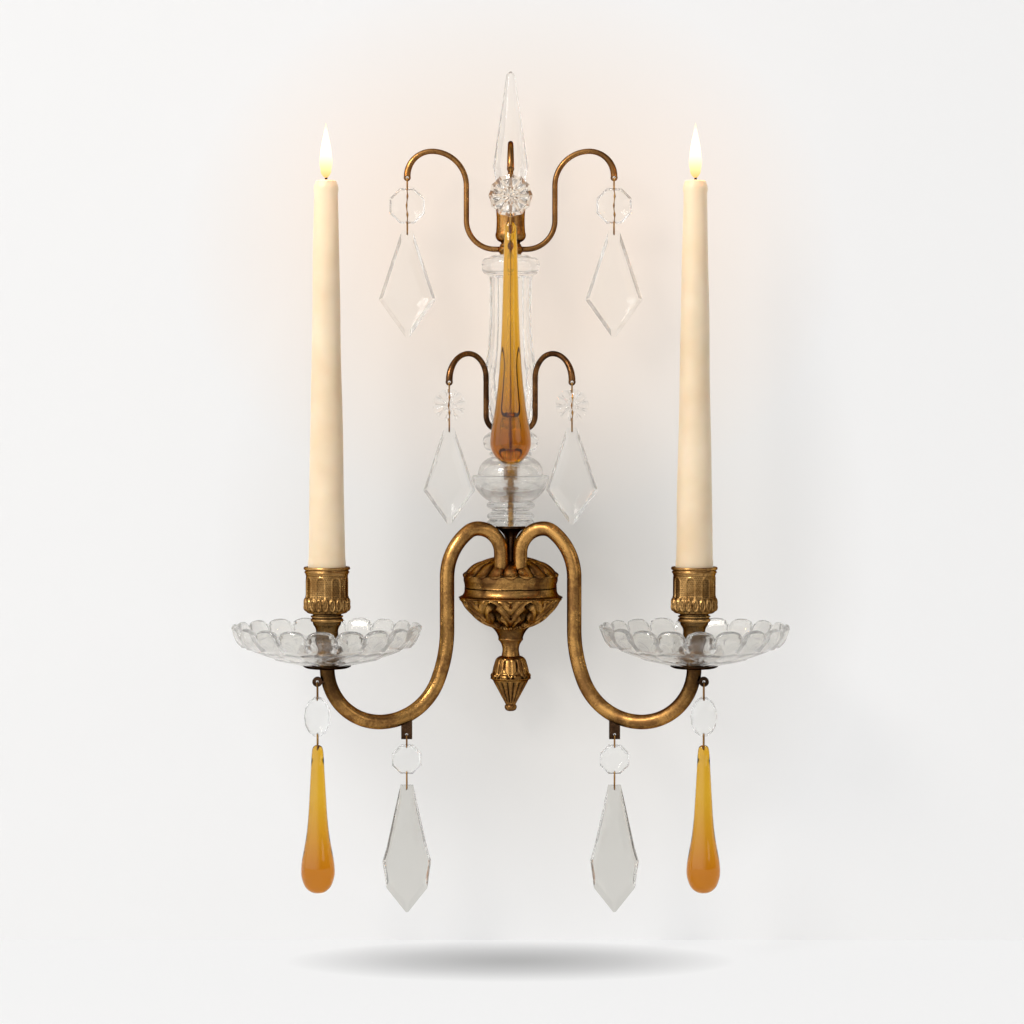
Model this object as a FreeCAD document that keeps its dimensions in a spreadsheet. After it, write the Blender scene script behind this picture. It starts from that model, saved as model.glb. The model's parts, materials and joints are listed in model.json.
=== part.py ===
import FreeCAD, Part
import math
import os
import Sketcher

# Candle wall sconce: a brass urn on the wall, two looped arms with candle cups,
# a glass centre column with five wire sprigs, and nine chains of cut and amber glass.
# Frame: +Z up, +X to the right of someone facing the wall, the wall is the plane y = 0
# and the object stands in front of it, at negative y. Millimetres.

SIZES = {
    # The urn, a half-round shell against the wall
    "urn_axis_depth": 13.0,
    "urn_wall": 2.5,
    "urn_lip_radius": 31.2,
    "urn_lip_height": -3.6,
    "urn_lip_edge": 1.0,
    "band_radius": 28.4,
    "band_top_height": 7.0,
    "band_groove_depth": 0.7,
    "band_groove_width": 1.6,
    "bowl_foot_radius": 7.3,
    "bowl_foot_height": -28.0,
    "bowl_floor": 5.0,
    "cap_radius": 29.5,
    "cap_edge": 1.2,
    "cap_rise": 13.0,
    # The finial below the urn
    "finial_collar_radius": 7.3,
    "finial_belly_radius": 12.5,
    "finial_length": 43.9,
    "finial_stud_radius": 2.0,
    "finial_stud_length": 10.0,
    # The hanging plate in the urn's open back
    "plate_thickness": 2.0,
    "plate_half_width": 21.5,
    "plate_ear_low": -3.4,
    "plate_ear_high": 6.0,
    "plate_tongue_half_width": 11.5,
    "plate_tongue_low": -9.5,
    "plate_tongue_high": 13.0,
    "keyhole_radius": 4.5,
    "keyhole_slot_width": 4.5,
    "keyhole_slot_rise": 8.0,
    "keyhole_height": 0.0,
    "lug_inner_reach": 14.4,
    "lug_outer_reach": 25.2,
    "lug_depth": 7.0,
    "screw_inset": 3.6,
    "screw_radius": 1.5,
    "screw_head_radius": 3.0,
    "screw_head_depth": 1.5,
    "screw_length": 7.0,
    # The centre stem, its rod and the hardware seen through the glass
    "column_forward": 13.0,
    "rod_radius": 1.85,
    "rod_bottom": 7.4,
    "rod_end_above": 1.2,
    "nut_radius": 4.65,
    "nut_height": 2.8,
    "stem_nut_radius": 3.4,
    "coupling_radius": 4.0,
    "coupling_height": 9.4,
    "stem_radius": 3.0,
    "stem_bottom": 12.0,
    "collar_low": 28.5,
    "collar_top": 39.8,
    "collar_radius": 8.9,
    # Glass pieces threaded on the rod, from the bottom up
    "glass_bore": 0.45,
    "foot_radius": 14.3,
    "foot_height": 14.1,
    "seat_clearance": 0.2,
    "glass_bowl_radius": 22.9,
    "glass_bowl_height": 15.3,
    "glass_bowl_wall": 2.5,
    "glass_bowl_floor": 4.9,
    "bell_radius": 19.5,
    "bell_gap": 0.6,
    "bell_height": 25.5,
    "bell_hollow_height": 7.0,
    "glass_column_radius": 13.5,
    "glass_column_height": 88.7,
    "flange_radius": 17.0,
    "flange_height": 11.7,
    "seat_gap": 0.1,
    # The spire and its brass cup
    "spire_cup_radius": 8.6,
    "spire_cup_height": 22.7,
    "spire_cup_wall": 1.2,
    "spire_radius": 11.3,
    "spire_flare_rise": 22.9,
    "spire_point_rise": 56.1,
    "spire_tip_radius": 3.0,
    # Rings that hold the sprigs
    "upper_ring_radius": 7.6,
    "upper_ring_height": 6.4,
    "lower_ring_radius": 9.6,
    "lower_ring_height": 3.8,
    "ring_socket_depth": 2.5,
    # Wire sprigs: a foot bend, an upright, and an arch down to a pierced eye
    "sprig_wire_radius": 1.6,
    "upper_sprig_foot_bend": 17.0,
    "upper_sprig_inner_bend": 20.4,
    "upper_sprig_outer_bend": 14.6,
    "upper_sprig_reach": 61.2,
    "upper_sprig_seat": 3.4,
    "upper_sprig_rise": 57.8,
    "lower_sprig_foot_bend": 8.0,
    "lower_sprig_inner_bend": 14.2,
    "lower_sprig_outer_bend": 15.8,
    "lower_sprig_reach": 50.4,
    "lower_sprig_seat": 1.9,
    "lower_sprig_rise": 43.9,
    "lower_sprig_turn": 45.0,
    "eye_radius": 2.9,
    "eye_thickness": 2.6,
    "eye_drop": 0.9,
    # The arms: a lopsided loop out of the cap, a straight run and a wide bend up to the cup
    "arm_tube_radius": 4.3,
    "arm_root_spacing": 5.6,
    "arm_root_forward": 5.6,
    "arm_root_height": 4.0,
    "arm_hole_clearance": 0.15,
    "arm_rise_bend": 14.6,
    "arm_loop_top": 38.7,
    "arm_shoulder_bend": 9.6,
    "arm_run_reach": 33.55,
    "arm_hollow_bend": 37.0,
    "arm_bend_radius": 32.7,
    "arm_bend_height": -41.2,
    "arm_wall": 0.9,
    "arm_nut_radius": 6.4,
    "arm_nut_height": 3.0,
    # The cups at the ends of the arms
    "cup_spacing": 106.7,
    "cup_depth": 65.0,
    "pan_radius": 14.0,
    "pan_thickness": 1.4,
    "dish_radius": 55.7,
    "dish_height": 24.1,
    "dish_wall": 3.6,
    "dish_edge": 1.1,
    "dish_base_radius": 11.6,
    "dish_hole_clearance": 0.3,
    "dish_scallop_radius": 5.0,
    "dish_scallop_depth": 1.5,
    "socket_stem_radius": 6.5,
    "socket_bulge_radius": 13.6,
    "socket_body_radius": 12.3,
    "socket_rim_radius": 13.4,
    "socket_rim_depth": 5.6,
    "socket_height": 57.5,
    "socket_bore_depth": 22.2,
    # Candles
    "candle_base_radius": 11.0,
    "candle_top_radius": 7.1,
    "candle_length": 245.5,
    "candle_clearance": 0.15,
    "wick_radius": 0.9,
    "wick_length": 5.8,
    "wick_depth": 6.0,
    # Chains: wire links, beads and drops
    "link_wire_radius": 0.4,
    "link_width": 5.8,
    "link_corner": 0.8,
    "link_hole_radius": 0.85,
    "link_gap": 0.15,
    "bead_hole_inset": 2.3,
    "bead_edge": 2.2,
    "bead_thickness": 6.8,
    "drop_hole_inset": 2.6,
    "drop_edge": 2.2,
    "drop_thickness": 8.6,
    "amber_tab_thickness": 4.0,
    "amber_tab_length": 7.0,
    "upper_bead_radius": 11.3,
    "upper_bead_fall": 16.7,
    "upper_kite_length": 63.0,
    "upper_kite_half_width": 16.9,
    "upper_kite_gap": 3.3,
    "front_bead_radius": 12.3,
    "front_bead_fall": 15.3,
    "front_amber_length": 138.6,
    "front_amber_radius": 11.4,
    "front_amber_gap": 2.4,
    "lower_bead_radius": 9.6,
    "lower_bead_fall": 13.4,
    "lower_kite_length": 56.2,
    "lower_kite_half_width": 15.0,
    "lower_kite_gap": 3.4,
    "inner_bead_radius": 9.2,
    "inner_bead_fall": 14.6,
    "inner_drop_length": 75.0,
    "inner_drop_half_width": 14.3,
    "inner_drop_gap": 6.0,
    "inner_eye_reach": 58.4,
    "inner_eye_below": 7.9,
    "inner_lug_width": 6.4,
    "inner_lug_thickness": 3.8,
    "inner_lug_below": 2.6,
    "outer_bead_half_width": 7.5,
    "outer_bead_half_height": 11.8,
    "outer_bead_fall": 20.4,
    "outer_amber_length": 86.5,
    "outer_amber_radius": 9.85,
    "outer_amber_gap": 4.9,
    "outer_eye_out": 5.5,
    "outer_eye_forward": 2.4,
    "outer_eye_below": 7.8,
    "outer_neck_radius": 1.1,
    "outer_lug_reach": 5.0,
}

# Heights and places that follow from the sizes above, in the order they build on each other
FOLLOWING = {
    "finial_tip_height": "bowl_foot_height - finial_length",
    "column_depth": "urn_axis_depth + column_forward",
    "arm_root_depth": "column_depth + arm_root_forward",
    "foot_bottom": "collar_top + seat_clearance",
    "foot_top": "foot_bottom + foot_height",
    "glass_bowl_bottom": "foot_top + seat_gap",
    "glass_bowl_top": "glass_bowl_bottom + glass_bowl_height",
    "bell_bottom": "glass_bowl_top + bell_gap",
    "bell_ceiling": "bell_bottom + bell_hollow_height",
    "bell_top": "bell_bottom + bell_height",
    "lower_ring_bottom": "bell_top + seat_clearance",
    "lower_ring_top": "lower_ring_bottom + lower_ring_height",
    "glass_column_bottom": "lower_ring_top + seat_clearance",
    "glass_column_top": "glass_column_bottom + glass_column_height",
    "flange_top": "glass_column_top + flange_height",
    "upper_ring_bottom": "flange_top + seat_clearance",
    "upper_ring_top": "upper_ring_bottom + upper_ring_height",
    "rod_top": "upper_ring_top + rod_end_above",
    "spire_cup_bottom": "upper_ring_top + seat_gap",
    "spire_cup_top": "spire_cup_bottom + spire_cup_height",
    "spire_shoulder": "spire_cup_top + spire_flare_rise",
    "spire_tip": "spire_shoulder + spire_point_rise",
    "upper_sprig_root_height": "upper_ring_bottom + upper_sprig_seat",
    "upper_sprig_top": "upper_sprig_root_height + upper_sprig_rise",
    "lower_sprig_root_height": "lower_ring_bottom + lower_sprig_seat",
    "lower_sprig_top": "lower_sprig_root_height + lower_sprig_rise",
    "pan_top": "arm_bend_height + pan_thickness",
    "dish_rim_height": "pan_top + dish_height",
    "socket_top": "pan_top + socket_height",
    "socket_floor": "socket_top - socket_bore_depth",
    "candle_top": "socket_floor + candle_length",
    "inner_eye_height": "arm_bend_height - arm_bend_radius - inner_eye_below",
    "outer_eye_spacing": "cup_spacing + outer_eye_out",
    "outer_eye_depth": "cup_depth + outer_eye_forward",
    "outer_eye_height": "arm_bend_height - outer_eye_below",
}

arm_shoulder_angle = 37.4
arm_hollow_angle = 68.0
cap_flutes = 18
dish_scallops = 20
bead_sides = 8
rosette_sides = 14
column_panels = 10
spire_sides = 8
socket_rim_rings = 2

# Outlines as shares of a piece's own radius (or half width) and height, chosen by hand from
# the photograph. Heights run up from the bottom, and an arc gives its middle before its end.
cap_section_shares = [1.0, 0.86, 0.7, 0.52, 0.34, 0.18]
cap_flute_depth_share = 0.07
cap_middle_share = 0.6
cap_hollow_share = 0.9
leaf_bowl_shares = [(0.40, 0.21), (0.64, 0.40), (0.785, 0.585), (0.91, 0.78)]
leaf_bowl_inner_shares = [(0.79, 0.78), (0.66, 0.585), (0.49, 0.44), (0.24, 0.32)]
finial_shares = [
    (0.42, 0.888, 0.40, 0.797), (0.50, 0.739, 0.75, 0.693), (0.86, 0.661), (0.95, 0.537, 1.0, 0.4715),
    (0.86, 0.41), (0.64, 0.297), (0.36, 0.151), (0.232, 0.094), (0.266, 0.066, 0.0, 0.0),
]
collar_funnel_shares = (0.42, 0.5)
foot_shares = [(0.8, 0.0), (0.98, 0.35, 0.94, 0.6), (0.8, 0.7), (1.0, 0.84, 0.88, 1.0)]
glass_bowl_shares = [(0.53, 0.0), (0.624, 0.08), (0.84, 0.42, 1.0, 0.92)]
glass_bowl_inner_shares = [(0.68, 0.175, 0.45, 0.0)]
bell_shares = [
    (1.0, 0.0), (0.90, 0.23, 0.651, 0.42), (0.534, 0.441), (0.664, 0.49, 0.534, 0.54), (0.656, 0.561),
    (0.82, 0.657), (0.82, 0.89), (0.64, 1.0),
]
bell_inner_shares = [(0.40, 1.0), (0.795, 0.5, 0.872, 0.0)]
glass_column_shares = [(0.813, 0.0), (0.904, 0.055), (1.254, 0.255), (1.12, 0.44), (1.0, 0.565), (1.0, 1.0)]
flange_shares = [(0.79, 0.0), (1.0, 0.2), (1.02, 0.45, 1.0, 0.7), (0.78, 1.0)]
spire_cup_shares = [(0.62, 0.0), (0.95, 0.1, 1.0, 0.28), (1.0, 1.0)]
spire_cup_hollow_share = 0.28
spire_cup_floor_shares = (0.78, 0.55)
spire_foot_shares = [(0.45, 0.0), (0.8, 0.15)]
spire_tip_share = 0.5
pan_foot_share = 0.7
dish_shares = [(0.50, 0.125, 0.776, 0.37), (0.893, 0.535), (0.965, 0.75), (1.0, 1.0)]
dish_inner_shares = [(0.93, 0.80), (0.865, 0.585), (0.747, 0.385)]
dish_floor_shares = (0.494, 0.12)
socket_funnel_share = 0.34
socket_shares = [(0.55, 0.395, 0.685, 0.45), (0.72, 0.485), (0.66, 0.51), (0.92, 0.566, 1.0, 0.616)]
socket_shoulder_share = 0.656
candle_tip_shares = (0.9, 0.75, 0.55, 1.0)
kite_shares = [(0.19, 1.0), (1.0, 0.35), (0.07, 0.0)]
pendalogue_shares = [(0.26, 1.0), (0.83, 0.51), (1.0, 0.40), (0.84, 0.19), (0.05, 0.0)]
long_amber_shares = [(1.0, 0.085), (0.617, 0.33), (0.458, 0.504), (0.361, 0.772), (0.30, 1.0)]
short_amber_shares = [(1.0, 0.135), (0.80, 0.313), (0.563, 0.518), (0.457, 0.723), (0.33, 1.0)]
crystal_table_share = 0.55
kite_centre_share = 0.42

doc = FreeCAD.newDocument("candle_wall_sconce")
sheet = doc.addObject("Spreadsheet::Sheet", "Sizes")
V = FreeCAD.Vector
nodes = {}


def fill_sheet():
    """Write the sizes and what follows from them into the sheet, each with its name as the alias."""
    cells = list(SIZES.items()) + [(alias, f"={formula}") for alias, formula in FOLLOWING.items()]
    for row, (alias, value) in enumerate(cells, start=1):
        sheet.set(f"A{row}", alias)
        sheet.set(f"B{row}", str(value))
        sheet.setAlias(f"B{row}", alias)
    doc.recompute()


class Size(float):
    """A length that keeps the sheet expression it comes from, so sums of sizes stay bound."""

    def __new__(cls, value, text):
        length = super().__new__(cls, value)
        length.text = text
        return length

    def __add__(self, other):
        return Size(float(self) + float(other), f"({self.text} + {text_of(other)})")

    def __radd__(self, other):
        return Size(float(other) + float(self), f"({text_of(other)} + {self.text})")

    def __sub__(self, other):
        return Size(float(self) - float(other), f"({self.text} - {text_of(other)})")

    def __rsub__(self, other):
        return Size(float(other) - float(self), f"({text_of(other)} - {self.text})")

    def __mul__(self, other):
        return Size(float(self) * float(other), f"({self.text} * {text_of(other)})")

    def __rmul__(self, other):
        return Size(float(other) * float(self), f"({text_of(other)} * {self.text})")

    def __truediv__(self, other):
        return Size(float(self) / float(other), f"({self.text} / {text_of(other)})")

    def __neg__(self):
        return Size(-float(self), f"(-{self.text})")


def text_of(length):
    return length.text if isinstance(length, Size) else repr(float(length))


class Sheet:
    """The sheet's cells by name, as Size values."""

    def __getattr__(self, alias):
        return Size(sheet.get(alias), f"Sizes.{alias}")


s = Sheet()


def bind(thing, prop, length):
    if isinstance(length, Size):
        thing.setExpression(prop, length.text)
    else:
        thing.setExpression(prop, repr(float(length)))


def bind_place(thing, x, y, z):
    bind(thing, "Placement.Base.x", x)
    bind(thing, "Placement.Base.y", y)
    bind(thing, "Placement.Base.z", z)


def keep(label, thing):
    """Name a finished sub-part; its label is also its file's name."""
    thing.Label = label
    nodes[label] = thing
    return thing


def origin_plane(body, role):
    return next(plane for plane in body.Origin.OriginFeatures if plane.Role == role)


def new_sketch(body, role):
    sketch = body.newObject("Sketcher::SketchObject", "Sketch")
    sketch.AttachmentSupport = [(origin_plane(body, role), "")]
    sketch.MapMode = "FlatFace"
    return sketch


def fix_point(sketch, geometry, end, across, up):
    """Tie one sketch point to two bound lengths from the sketch's origin."""
    for kind, length in (("DistanceX", across), ("DistanceY", up)):
        number = sketch.addConstraint(Sketcher.Constraint(kind, -1, 1, geometry, end, float(length)))
        if isinstance(length, Size):
            sketch.setExpression(f"Constraints[{number}]", length.text)


def draw_outline(sketch, outline, closed=True):
    """Draw corners (across, up) and arcs (mid across, mid up, across, up), fully constrained."""
    corners = [V(float(item[-2]), float(item[-1]), 0) for item in outline]
    spans = list(range(1, len(outline))) + ([0] if closed else [])
    join = Sketcher.Constraint
    first_end = None
    last_end = None
    for index in spans:
        start = corners[index - 1]
        finish = corners[index]
        item = outline[index]
        if len(item) == 4:
            middle = V(float(item[0]), float(item[1]), 0)
            leftward = (middle - start).cross(finish - middle).z > 0
            arc = Part.Arc(start, middle, finish) if leftward else Part.Arc(finish, middle, start)
            number = sketch.addGeometry(arc)
            ends = (1, 2) if leftward else (2, 1)
            mark = sketch.addGeometry(Part.Point(middle), True)
            fix_point(sketch, mark, 1, item[0], item[1])
            sketch.addConstraint(join("PointOnObject", mark, 1, number))
        else:
            number = sketch.addGeometry(Part.LineSegment(start, finish))
            ends = (1, 2)
        if last_end is None:
            first_end = (number, ends[0])
            fix_point(sketch, number, ends[0], outline[index - 1][-2], outline[index - 1][-1])
        else:
            sketch.addConstraint(join("Coincident", *last_end, number, ends[0]))
        last_end = (number, ends[1])
        if index == 0:
            sketch.addConstraint(join("Coincident", *last_end, *first_end))
        else:
            fix_point(sketch, number, ends[1], item[-2], item[-1])


def scaled(shares, radius, low, height):
    """Outline points from shares of a radius and of a height above a level."""
    return [tuple(low + height * share if index % 2 else radius * share
                  for index, share in enumerate(item)) for item in shares]


def turned(outline, x, y):
    """A body turned about the vertical line at x, y; the outline gives radius and height."""
    body = doc.addObject("PartDesign::Body", "Body")
    sketch = new_sketch(body, "XZ_Plane")
    draw_outline(sketch, outline)
    turn = body.newObject("PartDesign::Revolution", "Turn")
    turn.Profile = sketch
    turn.ReferenceAxis = (sketch, ["V_Axis"])
    turn.Angle = 360
    bind_place(body, x, y, 0.0)
    return body


def bent_rod(path, radius, bore, x, y, turn):
    """A rod or tube piped along a path drawn in a vertical plane, turned about the line at x, y."""
    body = doc.addObject("PartDesign::Body", "Body")
    route = new_sketch(body, "XZ_Plane")
    draw_outline(route, path, closed=False)
    section = body.newObject("Sketcher::SketchObject", "Sketch")
    section.AttachmentSupport = [(route, "Edge1")]
    section.MapMode = "NormalToEdge"
    for ring_radius in ([radius, bore] if bore else [radius]):
        circle = section.addGeometry(Part.Circle(V(0, 0, 0), V(0, 0, 1), float(ring_radius)))
        section.addConstraint(Sketcher.Constraint("Coincident", circle, 3, -1, 1))
        number = section.addConstraint(Sketcher.Constraint("Radius", circle, float(ring_radius)))
        section.setExpression(f"Constraints[{number}]", ring_radius.text)
    pipe = body.newObject("PartDesign::AdditivePipe", "Pipe")
    pipe.Profile = section
    pipe.Spine = (route, [f"Edge{number + 1}" for number in range(len(path) - 1)])
    body.Placement = FreeCAD.Placement(V(0, 0, 0), FreeCAD.Rotation(V(0, 0, 1), turn))
    bind(body, "Placement.Base.x", x)
    bind(body, "Placement.Base.y", y)
    return body


def cylinder(radius, height, x, y, z, axis=V(0, 0, 1)):
    """An upright cylinder, or one whose length runs along another axis from x, y, z."""
    rod = doc.addObject("Part::Cylinder", "Cylinder")
    bind(rod, "Radius", radius)
    bind(rod, "Height", height)
    rod.Placement = FreeCAD.Placement(V(0, 0, 0), FreeCAD.Rotation(V(0, 0, 1), axis))
    bind_place(rod, x, y, z)
    return rod


def cone(low_radius, high_radius, height, x, y, z, axis=V(0, 0, 1)):
    taper = doc.addObject("Part::Cone", "Cone")
    bind(taper, "Radius1", low_radius)
    bind(taper, "Radius2", high_radius)
    bind(taper, "Height", height)
    taper.Placement = FreeCAD.Placement(V(0, 0, 0), FreeCAD.Rotation(V(0, 0, 1), axis))
    bind_place(taper, x, y, z)
    return taper


def box(length, width, height, x, y, z):
    block = doc.addObject("Part::Box", "Box")
    bind(block, "Length", length)
    bind(block, "Width", width)
    bind(block, "Height", height)
    bind_place(block, x, y, z)
    return block


def compound(things):
    group = doc.addObject("Part::Compound", "Group")
    group.Links = things
    return group


def cut(base, tools):
    result = doc.addObject("Part::Cut", "Cut")
    result.Base = base
    result.Tool = tools[0] if len(tools) == 1 else compound(tools)
    return result


def fuse(things):
    result = doc.addObject("Part::MultiFuse", "Fuse")
    result.Shapes = things
    return result


def ring(radius, bore, height, x, y, z):
    """A washer, nut or sleeve: a cylinder with a bore."""
    return cut(cylinder(radius, height, x, y, z), [cylinder(bore, height, x, y, z)])


def shape_feature(shape):
    feature = doc.addObject("Part::Feature", "Shape")
    feature.Shape = shape
    return feature


def side_name(side):
    return "left" if side < 0 else "right"


# The urn


def half_space(top, bottom):
    """Everything in front of the wall, between two heights, wide enough for the urn."""
    reach = s.urn_lip_radius * 2
    return box(reach * 2, reach, top - bottom, -reach, -reach, bottom)


def cap_arc_radius():
    """The radius of the dome's meridian, from its rise and its rim."""
    return (s.cap_radius * s.cap_radius + s.cap_rise * s.cap_rise) / (s.cap_rise * 2)


def cap_height_at(radius):
    """The height of the dome's outer face at a distance from the urn's axis."""
    arc = float(cap_arc_radius())
    crown = float(s.band_top_height + s.cap_edge + s.cap_rise)
    return crown - arc + math.sqrt(arc * arc - float(radius) ** 2)


def fluted_section(radius, height):
    """A star outline round the urn's axis: a ridge and a valley for each flute."""
    corners = []
    for number in range(cap_flutes * 2):
        angle = math.pi / cap_flutes * number
        reach = radius * (1 - cap_flute_depth_share * (number % 2))
        corners.append(V(reach * math.sin(angle), -reach * math.cos(angle) - s.urn_axis_depth, height))
    return Part.makePolygon(corners + corners[:1])


def make_urn_cap():
    """A fluted dome, hollow inside and pierced for the stem and the two arms."""
    rim = s.band_top_height + s.cap_edge
    crown = rim + s.cap_rise
    sections = [fluted_section(float(s.cap_radius), float(s.band_top_height))]
    for share in cap_section_shares:
        radius = float(s.cap_radius) * share
        sections.append(fluted_section(radius, cap_height_at(radius)))
    dome = shape_feature(Part.makeLoft(sections, True, True))
    middle = s.cap_radius * cap_middle_share
    hollow = turned([
        (0.0, s.band_top_height),
        (s.cap_radius - s.urn_wall - s.cap_edge, s.band_top_height),
        (middle * cap_hollow_share, cap_height_at(middle) - s.urn_wall, 0.0, crown - s.urn_wall),
    ], 0.0, -s.urn_axis_depth)
    clearance = s.arm_hole_clearance
    holes = [cylinder(s.stem_radius + clearance, crown, 0.0, -s.column_depth, 0.0)]
    for side in (-1, 1):
        holes.append(cylinder(s.arm_tube_radius + clearance, crown, s.arm_root_spacing * side,
                              -s.arm_root_depth, 0.0))
    front = doc.addObject("Part::Common", "Common")
    front.Base = cut(cut(dome, [hollow]), holes)
    front.Tool = half_space(crown, s.band_top_height)
    keep("urn_cap", front)


def make_urn_bowl():
    """The lower shell: a band with a groove, a sharp lip and a bowl, with two lugs for the plate."""
    top = s.band_top_height
    lip = s.urn_lip_height
    foot = s.bowl_foot_height
    rise = lip - foot
    groove = (top + lip) / 2
    stud = s.finial_stud_radius + s.seat_gap
    outline = [(stud, foot), (s.bowl_foot_radius, foot)]
    outline += scaled(leaf_bowl_shares, s.urn_lip_radius, foot, rise)
    outline += [
        (s.urn_lip_radius - s.urn_lip_edge, lip - s.urn_lip_edge),
        (s.urn_lip_radius, lip),
        (s.band_radius + s.band_groove_depth, groove - s.band_groove_width / 2),
        (s.band_radius - s.band_groove_depth, groove),
        (s.band_radius + s.band_groove_depth, groove + s.band_groove_width / 2),
        (s.band_radius, top),
        (s.band_radius - s.urn_wall, top),
        (s.band_radius - s.urn_wall, lip),
    ]
    outline += scaled(leaf_bowl_inner_shares, s.urn_lip_radius, foot, rise)
    outline += [(stud, foot + s.bowl_floor)]
    shell = turned(outline, 0.0, -s.urn_axis_depth)
    lugs = []
    length = s.lug_outer_reach - s.lug_inner_reach
    for start in (s.lug_inner_reach, -s.lug_outer_reach):
        lugs.append(box(length, s.lug_depth, s.plate_ear_high - s.plate_ear_low, start,
                        -s.plate_thickness - s.lug_depth, s.plate_ear_low))
    holes = [cylinder(s.screw_radius + s.seat_gap, s.screw_length, x, -s.screw_head_depth, z, V(0, -1, 0))
             for x, z in screw_places()]
    front = doc.addObject("Part::Common", "Common")
    front.Base = cut(fuse([shell] + lugs), holes)
    front.Tool = half_space(top, foot)
    keep("urn_bowl", front)


def screw_places():
    height = (s.plate_ear_low + s.plate_ear_high) / 2
    return [((s.plate_half_width - s.screw_inset) * side, height) for side in (-1, 1)]


def make_hanger_plate():
    """A steel plate, flush with the wall plane, with a keyhole and two countersunk holes."""
    body = doc.addObject("PartDesign::Body", "Body")
    sketch = new_sketch(body, "XZ_Plane")
    draw_outline(sketch, [
        (-s.plate_half_width, s.plate_ear_low),
        (-s.plate_tongue_half_width, s.plate_ear_low),
        (-s.plate_tongue_half_width, s.plate_tongue_low),
        (s.plate_tongue_half_width, s.plate_tongue_low),
        (s.plate_tongue_half_width, s.plate_ear_low),
        (s.plate_half_width, s.plate_ear_low),
        (s.plate_half_width, s.plate_ear_high),
        (s.plate_tongue_half_width, s.plate_ear_high),
        (s.plate_tongue_half_width, s.plate_tongue_high),
        (-s.plate_tongue_half_width, s.plate_tongue_high),
        (-s.plate_tongue_half_width, s.plate_ear_high),
        (-s.plate_half_width, s.plate_ear_high),
    ])
    pad = body.newObject("PartDesign::Pad", "Pad")
    pad.Profile = sketch
    bind(pad, "Length", s.plate_thickness)
    through = s.plate_thickness
    tools = [
        cylinder(s.keyhole_radius, through, 0.0, 0.0, s.keyhole_height, V(0, -1, 0)),
        box(s.keyhole_slot_width, through, s.keyhole_slot_rise, -s.keyhole_slot_width / 2, -through,
            s.keyhole_height),
        cylinder(s.keyhole_slot_width / 2, through, 0.0, 0.0, s.keyhole_height + s.keyhole_slot_rise,
                 V(0, -1, 0)),
    ]
    for x, z in screw_places():
        tools.append(cone(s.screw_head_radius + s.seat_gap, s.screw_radius + s.seat_gap, s.screw_head_depth,
                          x, 0.0, z, V(0, -1, 0)))
        tools.append(cylinder(s.screw_radius + s.seat_gap, through, x, 0.0, z, V(0, -1, 0)))
    keep("hanger_plate", cut(body, [fuse(tools)]))


def make_hanger_screws():
    """Two countersunk screws that fix the plate to the lugs in the shell."""
    screws = []
    for x, z in screw_places():
        head = cone(s.screw_head_radius, s.screw_radius, s.screw_head_depth, x, 0.0, z, V(0, -1, 0))
        shank = cylinder(s.screw_radius, s.screw_length, x, 0.0, z, V(0, -1, 0))
        screws.append(fuse([head, shank]))
    keep("hanger_screws", compound(screws))


def make_finial():
    """A turned neck, a belly and a tapered point under the urn, on a stud that screws into it."""
    top = s.bowl_foot_height
    tip = s.finial_tip_height
    keep("bottom_finial", turned([
        (0.0, top + s.finial_stud_length),
        (s.finial_stud_radius, top + s.finial_stud_length),
        (s.finial_stud_radius, top),
        (s.finial_collar_radius, top),
        (s.finial_collar_radius, top - s.cap_edge),
    ] + scaled(finial_shares, s.finial_belly_radius, tip, top - tip), 0.0, -s.urn_axis_depth))


# The centre column


def on_column(outline):
    return turned(outline, 0.0, -s.column_depth)


def make_stem_collar():
    """A brass stem out of the cap that opens into a funnel under the glass."""
    bore = s.rod_radius + s.seat_gap
    waist_share, rise_share = collar_funnel_shares
    keep("stem_collar", on_column([
        (bore, s.stem_bottom),
        (s.stem_radius, s.stem_bottom),
        (s.stem_radius, s.collar_low),
        (s.collar_radius * waist_share, s.collar_low + (s.collar_top - s.collar_low) * rise_share,
         s.collar_radius, s.collar_top - s.cap_edge),
        (s.collar_radius, s.collar_top),
        (bore, s.collar_top),
    ]))


def make_rod_hardware():
    """The tie rod and what is threaded on it: nuts, washers and a coupling."""
    axis = (0.0, -s.column_depth)
    bore = s.rod_radius + s.seat_gap
    keep("tie_rod", cylinder(s.rod_radius, s.rod_top - s.rod_bottom, *axis, s.rod_bottom))
    bowl_floor = s.foot_top + s.glass_bowl_floor
    keep("nuts", compound([
        ring(s.stem_nut_radius, bore, s.nut_height, *axis, s.stem_bottom - s.nut_height),
        ring(s.nut_radius, bore, s.nut_height, *axis, bowl_floor + s.seat_gap),
        ring(s.coupling_radius, bore, s.coupling_height, *axis,
             s.bell_ceiling - s.seat_gap - s.coupling_height),
    ] + arm_nuts()))


def make_glass_foot():
    """A stepped foot of clear glass on the collar."""
    bore = s.rod_radius + s.glass_bore
    outline = scaled(foot_shares, s.foot_radius, s.foot_bottom, s.foot_top - s.foot_bottom)
    keep("glass_foot", on_column([(bore, s.foot_bottom)] + outline + [(bore, s.foot_top)]))


def make_glass_bowl():
    """A flared open bowl of clear glass, with the rod and its nut standing in it."""
    bore = s.rod_radius + s.glass_bore
    low = s.glass_bowl_bottom
    top = s.glass_bowl_top
    wide = s.glass_bowl_radius
    floor = s.foot_top + s.glass_bowl_floor
    outline = [(bore, low)] + scaled(glass_bowl_shares, wide, low, top - low)
    outline += [(wide - s.glass_bowl_wall / 2, top), (wide - s.glass_bowl_wall, top - s.cap_edge)]
    outline += scaled(glass_bowl_inner_shares, wide, floor, top - floor) + [(bore, floor)]
    keep("glass_bowl", on_column(outline))


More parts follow.
